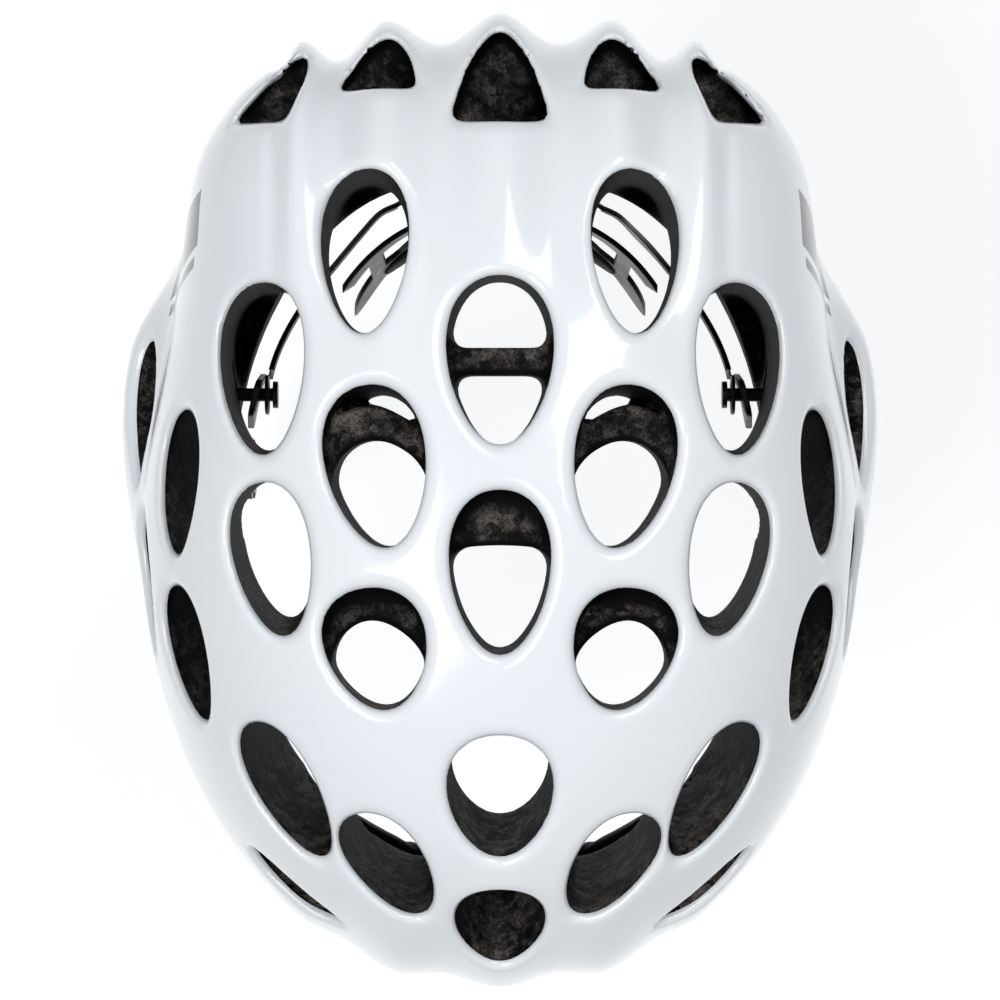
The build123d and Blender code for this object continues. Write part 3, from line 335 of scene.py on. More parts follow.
def slope_of(field, points):
    """Gradient of a field at points, and its values there."""
    x, y, z = points.T
    values = field(x, y, z)
    slope = np.stack([field(x + SLOPE_REACH, y, z) - values, field(x, y + SLOPE_REACH, z) - values,
                      field(x, y, z + SLOPE_REACH) - values], axis=1) / SLOPE_REACH
    return slope, values


def onto(field, points, rounds, limit):
    """Points moved onto a field's zero surface."""
    for _ in range(rounds):
        slope, values = slope_of(field, points)
        move = -slope * (values / np.maximum((slope ** 2).sum(axis=1), 0.05))[:, None]
        length = np.linalg.norm(move, axis=1)
        points = points + move * np.minimum(1, limit / np.maximum(length, 1e-9))[:, None]
    return points


def relaxed(points, quads, share):
    """Points moved towards the middle of their neighbours."""
    total = np.zeros_like(points)
    count = np.zeros(len(points))
    for a, b in ((0, 1), (1, 2), (2, 3), (3, 0)):
        for i, j in ((quads[:, a], quads[:, b]), (quads[:, b], quads[:, a])):
            for axis in range(3):
                total[:, axis] += np.bincount(i, points[j, axis], len(points))
            count += np.bincount(i, minlength=len(points))
    return points + share * (total / np.maximum(count, 1)[:, None] - points)


def surface(field, low, high, step, samples):
    """Even quad mesh of a field's zero surface inside a box."""
    axes = [np.arange(a, b + step, step) for a, b in zip(low, high)]
    points, quads = surface_net(samples(axes), low, step)
    points = onto(field, points, 2, step * 0.6)
    for _ in range(2):
        points = onto(field, relaxed(points, quads, 0.5), 1, step * 0.6)
    points = onto(field, points, 1, step * 0.3)
    return points, quads


def shell_samples(axes):
    """Values of the shell's field on a grid, each vent only where it is near."""
    x, y, z = [a.astype(np.float32) for a in axes]
    outer = outer_form(x[:, None, None], y[None, :, None], z[None, None, :])
    nearest = np.full(outer.shape, FAR, np.float32)
    for channel in CHANNELS:
        spans = [slice(*np.searchsorted(a, (channel.low[k], channel.high[k])))
                 for k, a in enumerate((x, y, z))]
        spans = tuple(spans)
        found = channel.distance(x[spans[0]][:, None, None], y[spans[1]][None, :, None],
                                 z[spans[2]][None, None, :])
        nearest[spans] = np.minimum(nearest[spans], found)
    return smooth_max(outer, -nearest, LIP_ROUND)


def foam_samples(axes):
    x, y, z = axes
    values = shell_samples(axes) + FOAM_GAP
    cavity = cavity_form(x[:, None, None], y[None, :, None], z[None, None, :])
    values = smooth_max(values, -cavity, 3.0)
    return smooth_max(values, (rim_height(y)[:, None] - z[None, :])[None], 3.0)


def triangles_of(quads):
    return np.concatenate([quads[:, [0, 1, 2]], quads[:, [0, 2, 3]]])


def cut_away(points, triangles, keep):
    """Triangles cut along the line where keep is zero; the side where it is positive stays."""
    inside = keep >= 0
    code = inside[triangles]
    count = code.sum(axis=1)
    whole = triangles[count == 3]
    rows = np.arange
    one = triangles[count == 1]
    turn = code[count == 1].argmax(axis=1)
    one = np.stack([one[rows(len(one)), (turn + k) % 3] for k in range(3)], axis=1)
    two = triangles[count == 2]
    turn = code[count == 2].argmin(axis=1)
    two = np.stack([two[rows(len(two)), (turn + k) % 3] for k in range(3)], axis=1)
    edges = np.concatenate([one[:, [0, 1]], one[:, [0, 2]], two[:, [0, 1]], two[:, [0, 2]]])
    edges, where = np.unique(np.sort(edges, axis=1), axis=0, return_inverse=True)
    where = where.ravel() + len(points)
    a, b = edges[:, 0], edges[:, 1]
    t = keep[a] / (keep[a] - keep[b])
    fresh = points[a] + (points[b] - points[a]) * t[:, None]
    n, m = len(one), len(two)
    ab, ac, ba, bc = where[:n], where[n:2 * n], where[2 * n:2 * n + m], where[2 * n + m:]
    result = np.concatenate([whole, np.stack([one[:, 0], ab, ac], axis=1),
                             np.stack([ba, two[:, 1], two[:, 2]], axis=1),
                             np.stack([ba, two[:, 2], bc], axis=1)])
    return tidy_mesh(np.concatenate([points, fresh]), result)


def tidy_mesh(points, faces):
    """Only the points that the faces use."""
    used, again = np.unique(faces, return_inverse=True)
    return points[used], again.reshape(faces.shape)


def largest_part(points, faces):
    """Drops any loose islands of a mesh."""
    group = np.arange(len(points))
    while True:
        before = group.copy()
        for k in range(faces.shape[1]):
            i, j = faces[:, k], faces[:, (k + 1) % faces.shape[1]]
            low = np.minimum(group[i], group[j])
            np.minimum.at(group, i, low)
            np.minimum.at(group, j, low)
        group = group[group]
        if (group == before).all():
            break
    names, counts = np.unique(group, return_counts=True)
    biggest = names[counts.argmax()]
    return tidy_mesh(points, faces[group[faces[:, 0]] == biggest])


def linked(name, data):
    """Object that shows some data, in the scene."""
    made = bpy.data.objects.new(name, data)
    bpy.context.scene.collection.objects.link(made)
    return made


def mesh_object(name, points, faces, normals=None, uv=None):
    """Object from points in millimetres and faces that all have as many corners."""
    mesh = bpy.data.meshes.new(name)
    faces = np.asarray(faces, np.int32)
    corners = faces.shape[1]
    mesh.vertices.add(len(points))
    mesh.vertices.foreach_set("co", (np.asarray(points) * MM).astype(np.float32).ravel())
    mesh.loops.add(faces.size)
    mesh.loops.foreach_set("vertex_index", faces.ravel())
    mesh.polygons.add(len(faces))
    mesh.polygons.foreach_set("loop_start", np.arange(0, faces.size, corners, dtype=np.int32))
    mesh.update(calc_edges=True)
    mesh.polygons.foreach_set("use_smooth", np.full(len(faces), True))
    if uv is not None:
        layer = mesh.uv_layers.new(name="strap")
        layer.data.foreach_set("uv", (uv[faces.ravel()] * MM).astype(np.float32).ravel())
    if normals is not None:
        mesh.normals_split_custom_set(normals.astype(np.float32))
    return linked(name, mesh)


def thickened(name, points, faces, normals, thickness):
    """Closed skin between a surface and its copy moved inwards."""
    count = len(points)
    inner = points - normals * thickness
    edges = np.concatenate([faces[:, [0, 1]], faces[:, [1, 2]], faces[:, [2, 0]]])
    key = np.sort(edges, axis=1)
    _, first, uses = np.unique(key, axis=0, return_index=True, return_counts=True)
    rim = edges[first[uses == 1]]
    i, j = rim[:, 0], rim[:, 1]
    walls = np.concatenate([np.stack([j, i, i + count], axis=1),
                            np.stack([j, i + count, j + count], axis=1)])
    everything = np.concatenate([faces, faces[:, ::-1] + count, walls])
    both = np.concatenate([points, inner])
    wall_corners = both[walls]
    wall_normal = np.cross(wall_corners[:, 1] - wall_corners[:, 0],
                           wall_corners[:, 2] - wall_corners[:, 0])
    wall_normal /= np.maximum(np.linalg.norm(wall_normal, axis=1), 1e-9)[:, None]
    loop_normals = np.concatenate([normals[faces].reshape(-1, 3),
                                   -normals[faces[:, ::-1]].reshape(-1, 3),
                                   np.repeat(wall_normal, 3, axis=0)])
    return mesh_object(name, both, everything, normals=loop_normals)


# ---------------------------------------------------------------- shell and foam
SHELL_STEP = 1.7           # grid that the surface is found on
shell_points, shell_quads = surface(shell_field, (-113, -147, -6), (113, 143, 153), SHELL_STEP,
                                    shell_samples)
shell_faces = triangles_of(shell_quads)
shell_points, shell_faces = cut_away(shell_points, shell_faces, outer_form(*shell_points.T) + LIP_DEPTH)


def shell_piece(name, keep):
    points, faces = cut_away(shell_points, shell_faces, keep(*shell_points.T))
    points, faces = largest_part(points, faces)
    slope, _ = slope_of(shell_field, points)
    normals = slope / np.linalg.norm(slope, axis=1)[:, None]
    return thickened(name, points, faces, normals, SKIN)


def above_seam(x, y, z):
    return z - rim_height(y) - LOWER_SHELL_DROP - SEAM_GAP / 2


def below_seam(x, y, z):
    return np.minimum(rim_height(y) + LOWER_SHELL_DROP - SEAM_GAP / 2 - z, z - rim_height(y))


outer_shell = shell_piece("outer_shell_skin", above_seam)
lower_shell = shell_piece("lower_shell_skin", below_seam)

FOAM_STEP = 1.7
FOAM_TRIANGLES = 190000
foam_points, foam_quads = surface(foam_field, (-111, -145, -6), (111, 142, 151), FOAM_STEP, foam_samples)
foam_points, foam_quads = largest_part(foam_points, foam_quads)
foam = mesh_object("foam_liner_body", foam_points, triangles_of(foam_quads))
if len(foam.data.polygons) > FOAM_TRIANGLES:
    thinning = foam.modifiers.new("thinning", "DECIMATE")
    thinning.ratio = FOAM_TRIANGLES / len(foam.data.polygons)


def apply_modifiers(made):
    """Keeps what an object's modifiers make of its mesh."""
    graph = bpy.context.evaluated_depsgraph_get()
    result = bpy.data.meshes.new_from_object(made.evaluated_get(graph))
    made.modifiers.clear()
    made.data = result
    return made


apply_modifiers(foam)

# ---------------------------------------------------------------- swept pieces


def unit(vectors):
    return vectors / np.maximum(np.linalg.norm(vectors, axis=-1, keepdims=True), 1e-9)


def swept(path, across, section, closed=False):
    """Points and quads of a section carried along a path, and each point's place along and across."""
    path = np.asarray(path, float)
    count, size = len(path), len(section)
    if closed:
        tangent = unit(np.roll(path, -1, axis=0) - np.roll(path, 1, axis=0))
    else:
        tangent = unit(np.gradient(path, axis=0))
    across = np.broadcast_to(np.asarray(across, float), path.shape)
    across = unit(across - tangent * (across * tangent).sum(axis=1)[:, None])
    through = np.cross(tangent, across)
    u, w = section[:, 0], section[:, 1]
    points = (path[:, None] + across[:, None] * u[None, :, None] + through[:, None] * w[None, :, None])
    steps = np.linalg.norm(np.diff(path, axis=0), axis=1)
    along = np.concatenate([[0], np.cumsum(steps)])
    uv = np.stack([np.broadcast_to(u, (count, size)), np.broadcast_to(along[:, None], (count, size))],
                  axis=2)
    ring = np.arange(size)
    rows = np.arange(count if closed else count - 1)
    here = (rows[:, None] * size + ring[None, :]).ravel()
    beside = (rows[:, None] * size + (ring[None, :] + 1) % size).ravel()
    ahead = ((rows[:, None] + 1) % count * size + ring[None, :]).ravel()
    ahead_beside = ((rows[:, None] + 1) % count * size + (ring[None, :] + 1) % size).ravel()
    quads = np.stack([here, beside, ahead_beside, ahead], axis=1)
    if not closed:
        half = size // 2
        near = np.arange(half - 1)
        cap = np.stack([near, size - 1 - near, size - 2 - near, near + 1], axis=1)
        quads = np.concatenate([quads, cap, cap[:, ::-1] + (count - 1) * size])
    return points.reshape(-1, 3), quads, uv.reshape(-1, 2)


def slab_section(width, thickness, edge=1.15, samples=12):
    """Flat section with rounded, slightly thicker edges; its second half is the first one's back."""
    place = np.linspace(-1, 1, samples)
    u = width / 2 * np.sin(place * math.pi / 2)
    raised = np.where(np.abs(u) > width * 0.4, edge, 1.0)
    w = thickness / 2 * raised * np.sqrt(np.clip(1 - np.abs(place) ** 10, 0.12, 1))
    return np.concatenate([np.stack([u, w], axis=1), np.stack([u, -w], axis=1)[::-1]])


def joined(parts):
    """One list of points, faces and places from several swept parts."""
    points, faces, places, start = [], [], [], 0
    for part_points, part_faces, part_uv in parts:
        points.append(part_points)
        faces.append(part_faces + start)
        places.append(part_uv)
        start += len(part_points)
    return np.concatenate(points), np.concatenate(faces), np.concatenate(places)


def rounded_path(corners, radius, step=1.5):
    """Even points along a bent line with its corners rounded."""
    corners = np.asarray(corners, float)
    run = [corners[0]]
    for k in range(1, len(corners) - 1):
        before = unit(corners[k - 1] - corners[k])
        after = unit(corners[k + 1] - corners[k])
        for t in np.linspace(0, 1, 9):
            start, end = corners[k] + before * radius, corners[k] + after * radius
            run.append((1 - t) ** 2 * start + 2 * t * (1 - t) * corners[k] + t * t * end)
    run.append(corners[-1])
    run = np.array(run)
    along = np.concatenate([[0], np.cumsum(np.linalg.norm(np.diff(run, axis=0), axis=1))])
    places = np.linspace(0, along[-1], max(int(along[-1] / step), 2) + 1)
    return np.stack([np.interp(places, along, run[:, axis]) for axis in range(3)], axis=1)


def thread(path, radius):
    """Thin round thread along a path."""
    turn = np.linspace(0, 2 * math.pi, 6, endpoint=False)
    section = np.stack([radius * np.cos(turn), radius * np.sin(turn)], axis=1)
    return swept(path, (0.13, 0.2, 1.0), section)


# ---------------------------------------------------------------- straps
STRAP_WIDTH = 15.0
STRAP_THICKNESS = 1.1
STRAP_X = 91.0
STRAP_Y = 11.0
LAYER_OFFSET = 0.75
ANCHORS = {"front": ((-43.0, 12.0), 1), "rear": ((48.0, 8.0), -1)}
FOLD_Z = -43.0
FOOT_Z = -51.0
SWING_Z = -70.0
LOOP_RADIUS = 1.65
STRAP_ENDS = {"right": -112.0, "left": -232.0}
THREAD_RADIUS = 0.28
SIDES = {"right": 1, "left": -1}
WEBBING = slab_section(STRAP_WIDTH, STRAP_THICKNESS)


def bar_tack(x, z, facing):
    """Close zigzag of thread sewn across a strap."""
    rows = 22
    corners = [(x + facing * 0.12, STRAP_Y + (-5.5 + 11 * k / rows), z + (1.6 if k % 2 else -1.6))
               for k in range(rows + 1)]
    return thread(np.array(corners), THREAD_RADIUS)


def side_strap(side_name, end):
    """Webbing from its anchor in the foam down into the divider, with a slight bow in its run."""
    side = SIDES[side_name]
    (anchor_y, anchor_z), layer = ANCHORS[end]
    x = side * (STRAP_X + layer * LAYER_OFFSET)
    path = rounded_path([(x, anchor_y, anchor_z), (x, STRAP_Y, FOLD_Z), (x, STRAP_Y, FOOT_Z)], 7.0)
    share = np.linspace(0, 1, len(path))
    path[:, 0] += side * layer * 0.9 * np.sin(math.pi * np.clip(share / 0.85, 0, 1)) ** 2
    tangent = unit(np.gradient(path, axis=0))
    across = np.cross(tangent, (1.0, 0.0, 0.0))
    return swept(path, across, WEBBING)


def chin_strap(side_name):
    """Doubled webbing that loops over its bar; both layers are sewn together under it."""
    side = SIDES[side_name]
    x, end = side * STRAP_X, STRAP_ENDS[side_name]
    neck = SWING_Z - 6.0
    run = [(LAYER_OFFSET, z) for z in np.linspace(end + 0.5, neck, int((neck - end) / 1.5))]
    for t in np.linspace(0, 1, 6)[1:-1]:
        run.append((LAYER_OFFSET + (LOOP_RADIUS - LAYER_OFFSET) * t * t * (3 - 2 * t),
                    neck + (SWING_Z - neck) * t))
    for turn in np.linspace(0, math.pi / 2, 7):
        run.append((LOOP_RADIUS * math.cos(turn), SWING_Z + LOOP_RADIUS * math.sin(turn)))
    run = run + [(-u, z) for u, z in run[-2::-1]]
    wander = [0.2 * math.sin((z - SWING_Z) / 13.0) * min(max((neck - z) / 20, 0), 1) for _, z in run]
    path = np.array([(x + u + w, STRAP_Y, z) for (u, z), w in zip(run, wander)])
    parts = [swept(path, (0, 1, 0), WEBBING)]
    for facing in (1, -1):
        parts.append(bar_tack(x + facing * (LAYER_OFFSET + STRAP_THICKNESS / 2), neck - 4, facing))
    return joined(parts)


strap_pieces = {}
for side_name in SIDES:
    for end in ANCHORS:
        points, quads, uv = side_strap(side_name, end)
        made = mesh_object(f"{end}_strap_{side_name}_webbing", points, quads, uv=uv)
        strap_pieces[f"{end}_strap_{side_name}"] = (made, "helmet")
    points, quads, uv = chin_strap(side_name)
    made = mesh_object(f"chin_strap_{side_name}_webbing", points, quads, uv=uv)
    strap_pieces[f"chin_strap_{side_name}"] = (made, f"chin_{side_name}")

# ---------------------------------------------------------------- rim bead
RIM_BEAD_RADIUS = 1.6
RIM_BEAD_INSET = 2.2


def rim_path(count):
    """Centre line of the bead under the shell's edge."""
    angle = np.linspace(0, 2 * math.pi, count, endpoint=False)
    z = np.full(count, 10.0)
    for _ in range(10):
        near, far = np.zeros(count), np.full(count, 220.0)
        for _ in range(24):
            middle = (near + far) / 2
            inside = outer_form(middle * np.cos(angle), middle * np.sin(angle), z) < -RIM_BEAD_INSET
            near, far = np.where(inside, middle, near), np.where(inside, far, middle)
        z = rim_height(near * np.sin(angle)) - RIM_BEAD_RADIUS - 0.5
    return np.stack([near * np.cos(angle), near * np.sin(angle), z], axis=1)


turn = np.linspace(0, 2 * math.pi, 14, endpoint=False)
bead_shape = 1 + 0.1 * np.cos(2 * turn) + 0.05 * np.cos(3 * turn)
bead_section = np.stack([RIM_BEAD_RADIUS * bead_shape * np.cos(turn),
                         RIM_BEAD_RADIUS * bead_shape * np.sin(turn)], axis=1)
points, quads, _ = swept(rim_path(420), (0, 0, 1), bead_section, closed=True)
rim_bead = mesh_object("rim_bead", points, quads)

# ---------------------------------------------------------------- soft pads
PAD_GAP = 0.7              # back of a pad from the cavity wall
PAD_DEPTH = 5.2
PAD_STEP = 1.7
PAD_FILL = 0.6
SLEEVE_FILL = 0.5
# name: centre, half sizes, axis that the wall is found along, seams across the pad
PADS = {
    "brow_pad": ((0, -104, 35), (48, 22, 9), 1, (-0.62, -0.2, 0.2, 0.62)),
    "crown_pad": ((0, 1, 112), (14, 13.5, 20), 2, ()),
    "crown_side_pad_right": ((36, -23, 100), (12.5, 9, 30), 2, ()),
    "crown_side_pad_left": ((-36, -23, 100), (12.5, 9, 30), 2, ()),
    "temple_pad_right": ((72, -48, 42), (20, 14, 9), 0, ()),
    "temple_pad_left": ((-72, -48, 42), (20, 14, 9), 0, ()),
}


def wall_points(plane, axis, sign, depth):
    """Points at a depth inside the cavity wall, found along one axis."""
    near, far = np.zeros(len(plane)), np.full(len(plane), 150.0)
    spots = plane.copy()
    for _ in range(26):
        middle = (near + far) / 2
        spots[:, axis] = sign * middle
        inside = cavity_form(*spots.T) < -depth
        near, far = np.where(inside, middle, near), np.where(inside, far, middle)
    spots[:, axis] = sign * near
    return spots


def two_sided(rows, columns):
    """Quads of a closed pad: a front and a back grid that share nothing but their edges' walls."""
    count = rows * columns
    grid = np.arange(count).reshape(rows, columns)
    front = np.stack([grid[:-1, :-1], grid[1:, :-1], grid[1:, 1:], grid[:-1, 1:]], axis=-1).reshape(-1, 4)
    edge = np.concatenate([grid[0, :-1], grid[:-1, -1], grid[-1, :0:-1], grid[:0:-1, 0]])
    ahead = np.roll(edge, -1)
    walls = np.stack([edge, ahead, ahead + count, edge + count], axis=1)
    return np.concatenate([front, front[:, ::-1] + count, walls])


def squircle(a, b):
    """A square's grid drawn in at its corners."""
    return a * np.sqrt(1 - 0.32 * b * b), b * np.sqrt(1 - 0.32 * a * a)


def pad_grid(rows, columns):
    """A square's grid, the same drawn in at its corners, and each point's distance from the edge."""
    a, b = np.meshgrid(np.linspace(-1, 1, rows), np.linspace(-1, 1, columns), indexing="ij")
    a, b = a.ravel(), b.ravel()
    edge = np.clip(1 - np.maximum(np.abs(a), np.abs(b)), 0, 1)
    return a, b, *squircle(a, b), edge


def outward(points, quads):
    """Quads turned so that their normals point out of the closed form."""
    corner = points[quads]
    volume = (np.cross(corner[:, 1] - corner[:, 0], corner[:, 2] - corner[:, 0])
              * (corner[:, 0] - points.mean(axis=0))).sum()
    return quads if volume > 0 else quads[:, ::-1]


def puffed(made, cap, held):
    """Cloth pass: the closed piece swells, no point by more than cap (metres), the held ones not at all."""
    mesh = made.data
    before = np.empty(len(mesh.vertices) * 3, np.float32)
    mesh.vertices.foreach_get("co", before)
    before = before.reshape(-1, 3)
    cloth = made.modifiers.new("cloth", "CLOTH")
    settings = cloth.settings
    settings.quality = 5
    settings.mass = 0.15
    settings.use_pressure = True
    settings.uniform_pressure_force = 4.0
    settings.effector_weights.gravity = 0
    settings.tension_stiffness = 15
    settings.compression_stiffness = 15
    settings.bending_stiffness = 0.5
    cloth.collision_settings.use_collision = False
    cloth.point_cache.frame_start = 1
    cloth.point_cache.frame_end = 20
    for number in range(1, 21):
        bpy.context.scene.frame_set(number)
    graph = bpy.context.evaluated_depsgraph_get()
    swollen = made.evaluated_get(graph).to_mesh()
    after = np.empty(len(mesh.vertices) * 3, np.float32)
    swollen.vertices.foreach_get("co", after)
    move = after.reshape(-1, 3) - before
    made.evaluated_get(graph).to_mesh_clear()
    made.modifiers.clear()
    bpy.context.scene.frame_set(1)
    move = np.nan_to_num(move)
    length = np.linalg.norm(move, axis=1)
    move *= np.minimum(1, cap / np.maximum(length, 1e-9))[:, None]
    move[held] = 0
    mesh.vertices.foreach_set("co", (before + move).ravel())
    mesh.update()


def seamed(made, depth):
    """Sews channels into a piece: each point moves in along its normal by its own depth (mm)."""
    mesh = made.data
    normal = np.array([v.normal[:] for v in mesh.vertices])
    place = np.array([v.co[:] for v in mesh.vertices])
    place -= normal * depth[:, None] * MM
    mesh.vertices.foreach_set("co", place.astype(np.float32).ravel())
    mesh.update()
    rounder = made.modifiers.new("rounder", "SUBSURF")
    rounder.levels = 1
    rounder.render_levels = 1
    apply_modifiers(made)
    made.data.polygons.foreach_set("use_smooth", np.full(len(made.data.polygons), True))
    return made


def seam_depth(distance, half_width, depth):
    """Depth of a sewn channel at a distance from its line."""
    return depth * np.exp(-(distance / half_width) ** 2)


def comfort_pad(name, centre, half, axis, channels):
    """Soft pad that lies along the cavity wall."""
    first, second = [k for k in range(3) if k != axis]
    rows = max(int(2 * half[first] / PAD_STEP), 8) + 1
    columns = max(int(2 * half[second] / PAD_STEP), 8) + 1
    a, b, across, along, edge = pad_grid(rows, columns)
    sign = -1 if centre[axis] < 0 else 1
    swell = 0.45 + 0.55 * np.minimum(1, edge * min(rows, columns) / 6) ** 0.6
    sheets = []
    for depth in (PAD_GAP + np.zeros(len(a)), PAD_GAP + PAD_DEPTH * swell * 0.85):
        plane = np.zeros((len(a), 3))
        plane[:, first] = centre[first] + (half[first] - 0.6) * across
        plane[:, second] = centre[second] + (half[second] - 0.6) * along
        sheets.append(wall_points(plane, axis, sign, depth))
    points = np.concatenate(sheets)
    quads = outward(points, two_sided(rows, columns))
    made = mesh_object(f"{name}_cushion", points, quads)
    back = np.arange(len(a))
    puffed(made, 0.0009, back)
    border = np.minimum((1 - np.abs(a)) * half[first], (1 - np.abs(b)) * half[second])
    groove = seam_depth(border - 2.6, 0.9, 0.9)
    for channel in channels:
        groove = np.maximum(groove, seam_depth((a - channel) * half[first], 1.1, 1.3))
    return seamed(made, np.concatenate([np.zeros(len(a)), groove]))


cushions = {}
for name, (centre, half, axis, channels) in PADS.items():
    cushions[name] = (comfort_pad(name, centre, half, axis, channels), "helmet", PAD_FILL)

# cradle pads: along the inside of the cradle's sloping wall
CRADLE_REAR = 88.0
CRADLE_POWER = 2.2
CRADLE_WALL = 1.6
CRADLE_PAD_X = 26.0
CRADLE_PAD_Z = -18.3
CRADLE_PAD_HALF = (11.4, 5.0)


def cradle_half_width(z):
    """Half width of the cradle's wall, which leans in towards its foot."""
    return 50.0 + 24.0 * (z + 50.0) / 90.0


def cradle_points(x, z, inset):
    """Points of the cradle's wall over x and z, moved inwards."""
    half = cradle_half_width(z)
    share = np.clip(np.abs(x) / half, 0, 0.999)
    y = CRADLE_REAR * (1 - share ** CRADLE_POWER) ** (1 / CRADLE_POWER)
    slope = np.stack([np.sign(x) * share ** (CRADLE_POWER - 1) / half,
                      (y / CRADLE_REAR) ** (CRADLE_POWER - 1) / CRADLE_REAR, np.zeros_like(x)], axis=1)
    return np.stack([x, y, z], axis=1) - unit(slope) * np.asarray(inset)[:, None]


def cradle_cushion():
    """The two small pads on the cradle, as one piece."""
    half_x, half_z = CRADLE_PAD_HALF
    parts = []
    grooves = []
    for side in (1, -1):
        rows, columns = 17, 9
        a, b, across, along, edge = pad_grid(rows, columns)
        swell = 0.4 + 0.6 * np.minimum(1, edge * 2.2) ** 0.6
        x = side * (CRADLE_PAD_X + half_x * across)
        z = CRADLE_PAD_Z + half_z * along
        flat = np.full(len(a), CRADLE_WALL + 0.25)
        points = np.concatenate([cradle_points(x, z, flat), cradle_points(x, z, flat + 2.5 * swell)])
        quads = outward(points, two_sided(rows, columns))
        parts.append((points, quads, np.zeros((len(points), 2))))
        border = np.minimum((1 - np.abs(a)) * half_x, (1 - np.abs(b)) * half_z)
        grooves += [np.zeros(len(a)), seam_depth(border - 1.9, 0.7, 0.6)]
    points, quads, _ = joined(parts)
    made = mesh_object("cradle_pads_cushion", points, quads)
    count = len(points) // 4
    held = np.concatenate([np.arange(count), np.arange(2 * count, 3 * count)])
    puffed(made, 0.0005, held)
    return seamed(made, np.concatenate(grooves))


cushions["cradle_pads"] = (cradle_cushion(), "cradle", PAD_FILL)

# chin pad: a padded sleeve round the left chin strap
CHIN_PAD_Z = -130.0
CHIN_PAD_HALF = 27.0


def oval_ring(half_x, half_y, power, count):
    """Points round an oval; a higher power makes squarer corners."""
    angle = np.linspace(0, 2 * math.pi, count, endpoint=False) + 0.02
    cosine, sine = np.cos(angle), np.sin(angle)
    return np.stack([half_x * np.sign(cosine) * np.abs(cosine) ** (2 / power),
                     half_y * np.sign(sine) * np.abs(sine) ** (2 / power)], axis=1)


def chin_sleeve():
    """Padded tube round the strap, with a seam near each end and along each side."""
    count = 44
    levels = np.linspace(-1, 1, 31)
    inner = oval_ring(2.0, 8.2, 6, count)
    rings = []
    depth = []
    for level in levels:
        fullness = min(1.0, 0.25 + 0.75 * (max(1 - abs(level), 0) * 5) ** 0.6)
        outer = oval_ring(2.3 + 1.5 * fullness, 8.7 + 3.0 * fullness, 3.4, count)
        rings.append(np.column_stack([outer, np.full(count, level * CHIN_PAD_HALF)]))
        seam = seam_depth((1 - abs(level)) * CHIN_PAD_HALF - 3.5, 1.0, 0.6)
        side = seam_depth(np.abs(outer[:, 1]) - 9.0, 0.9, 0.45)
        depth.append(np.maximum(side, seam))
    for level in levels[::-1]:
        rings.append(np.column_stack([inner, np.full(count, level * CHIN_PAD_HALF)]))
        depth.append(np.zeros(count))
    points = np.concatenate(rings) + np.array([-STRAP_X, STRAP_Y, CHIN_PAD_Z])
    total = len(rings)
    row, column = np.meshgrid(np.arange(total), np.arange(count), indexing="ij")
    ahead, beside = (row + 1) % total, (column + 1) % count
    quads = np.stack([row * count + column, row * count + beside, ahead * count + beside,
                      ahead * count + column], axis=-1).reshape(-1, 4)
    quads = outward(points, quads)
    made = mesh_object("chin_pad_sleeve", points, quads)
    puffed(made, 0.0004, np.arange(len(levels) * count, total * count))
    return seamed(made, np.concatenate(depth))


cushions["chin_pad"] = (chin_sleeve(), "chin_pad", SLEEVE_FILL)

# ---------------------------------------------------------------- flexible bands
BAND_PLAN = [(69.6, 24), (68.6, 36), (65.2, 47), (59, 59), (50.5, 71), (43, 81), (37, 88), (31.2, 91)]
BAND_SIDE = [(31, 35), (46, 27), (61, 13), (75, -3)]
DIAL_Z = -24.0
RACK_LEVEL = 6.5


def band_form(side):
    """Flexible band with raised edges, from the eye at its temple pivot to its rack."""
    level = DIAL_Z - side * RACK_LEVEL
    side_curve = curve_through(BAND_SIDE + [(85, level + 5), (91.5, level)], 12)
    plan_curve = curve_through([(y, x) for x, y in BAND_PLAN], 12)
    y = np.linspace(37.2, 91.2, 60)
    x = np.interp(y, plan_curve[:, 0], plan_curve[:, 1])
    z = np.interp(y, side_curve[:, 0], side_curve[:, 1])
    path = np.stack([side * x, y, z], axis=1)
    plan_tangent = unit(np.gradient(np.stack([side * x, y, 0 * y], axis=1), axis=0))
    across = np.cross(plan_tangent, (0, 0, 1.0))
    across = np.cross(unit(np.gradient(path, axis=0)), across)
    section = slab_section(6.8, 1.0, edge=1.6, samples=14)
    parts = [swept(path, across, section)]
    turn = np.linspace(0, 2 * math.pi, 48, endpoint=False)
    eye_x = np.interp(31.0, plan_curve[:, 0], plan_curve[:, 1])
    eye = np.stack([np.full(48, side * eye_x), 31 + 4.05 * np.cos(turn), 35 + 4.05 * np.sin(turn)], axis=1)
    parts.append(swept(eye, (1, 0, 0), oval_ring(0.65, 1.9, 4, 16), closed=True))
    return joined(parts)


bands = {}
for side_name, side in SIDES.items():
    points, quads, _ = band_form(side)
    made = mesh_object(f"band_{side_name}_strip", points, quads)
    bands[side_name] = made

# ---------------------------------------------------------------- materials


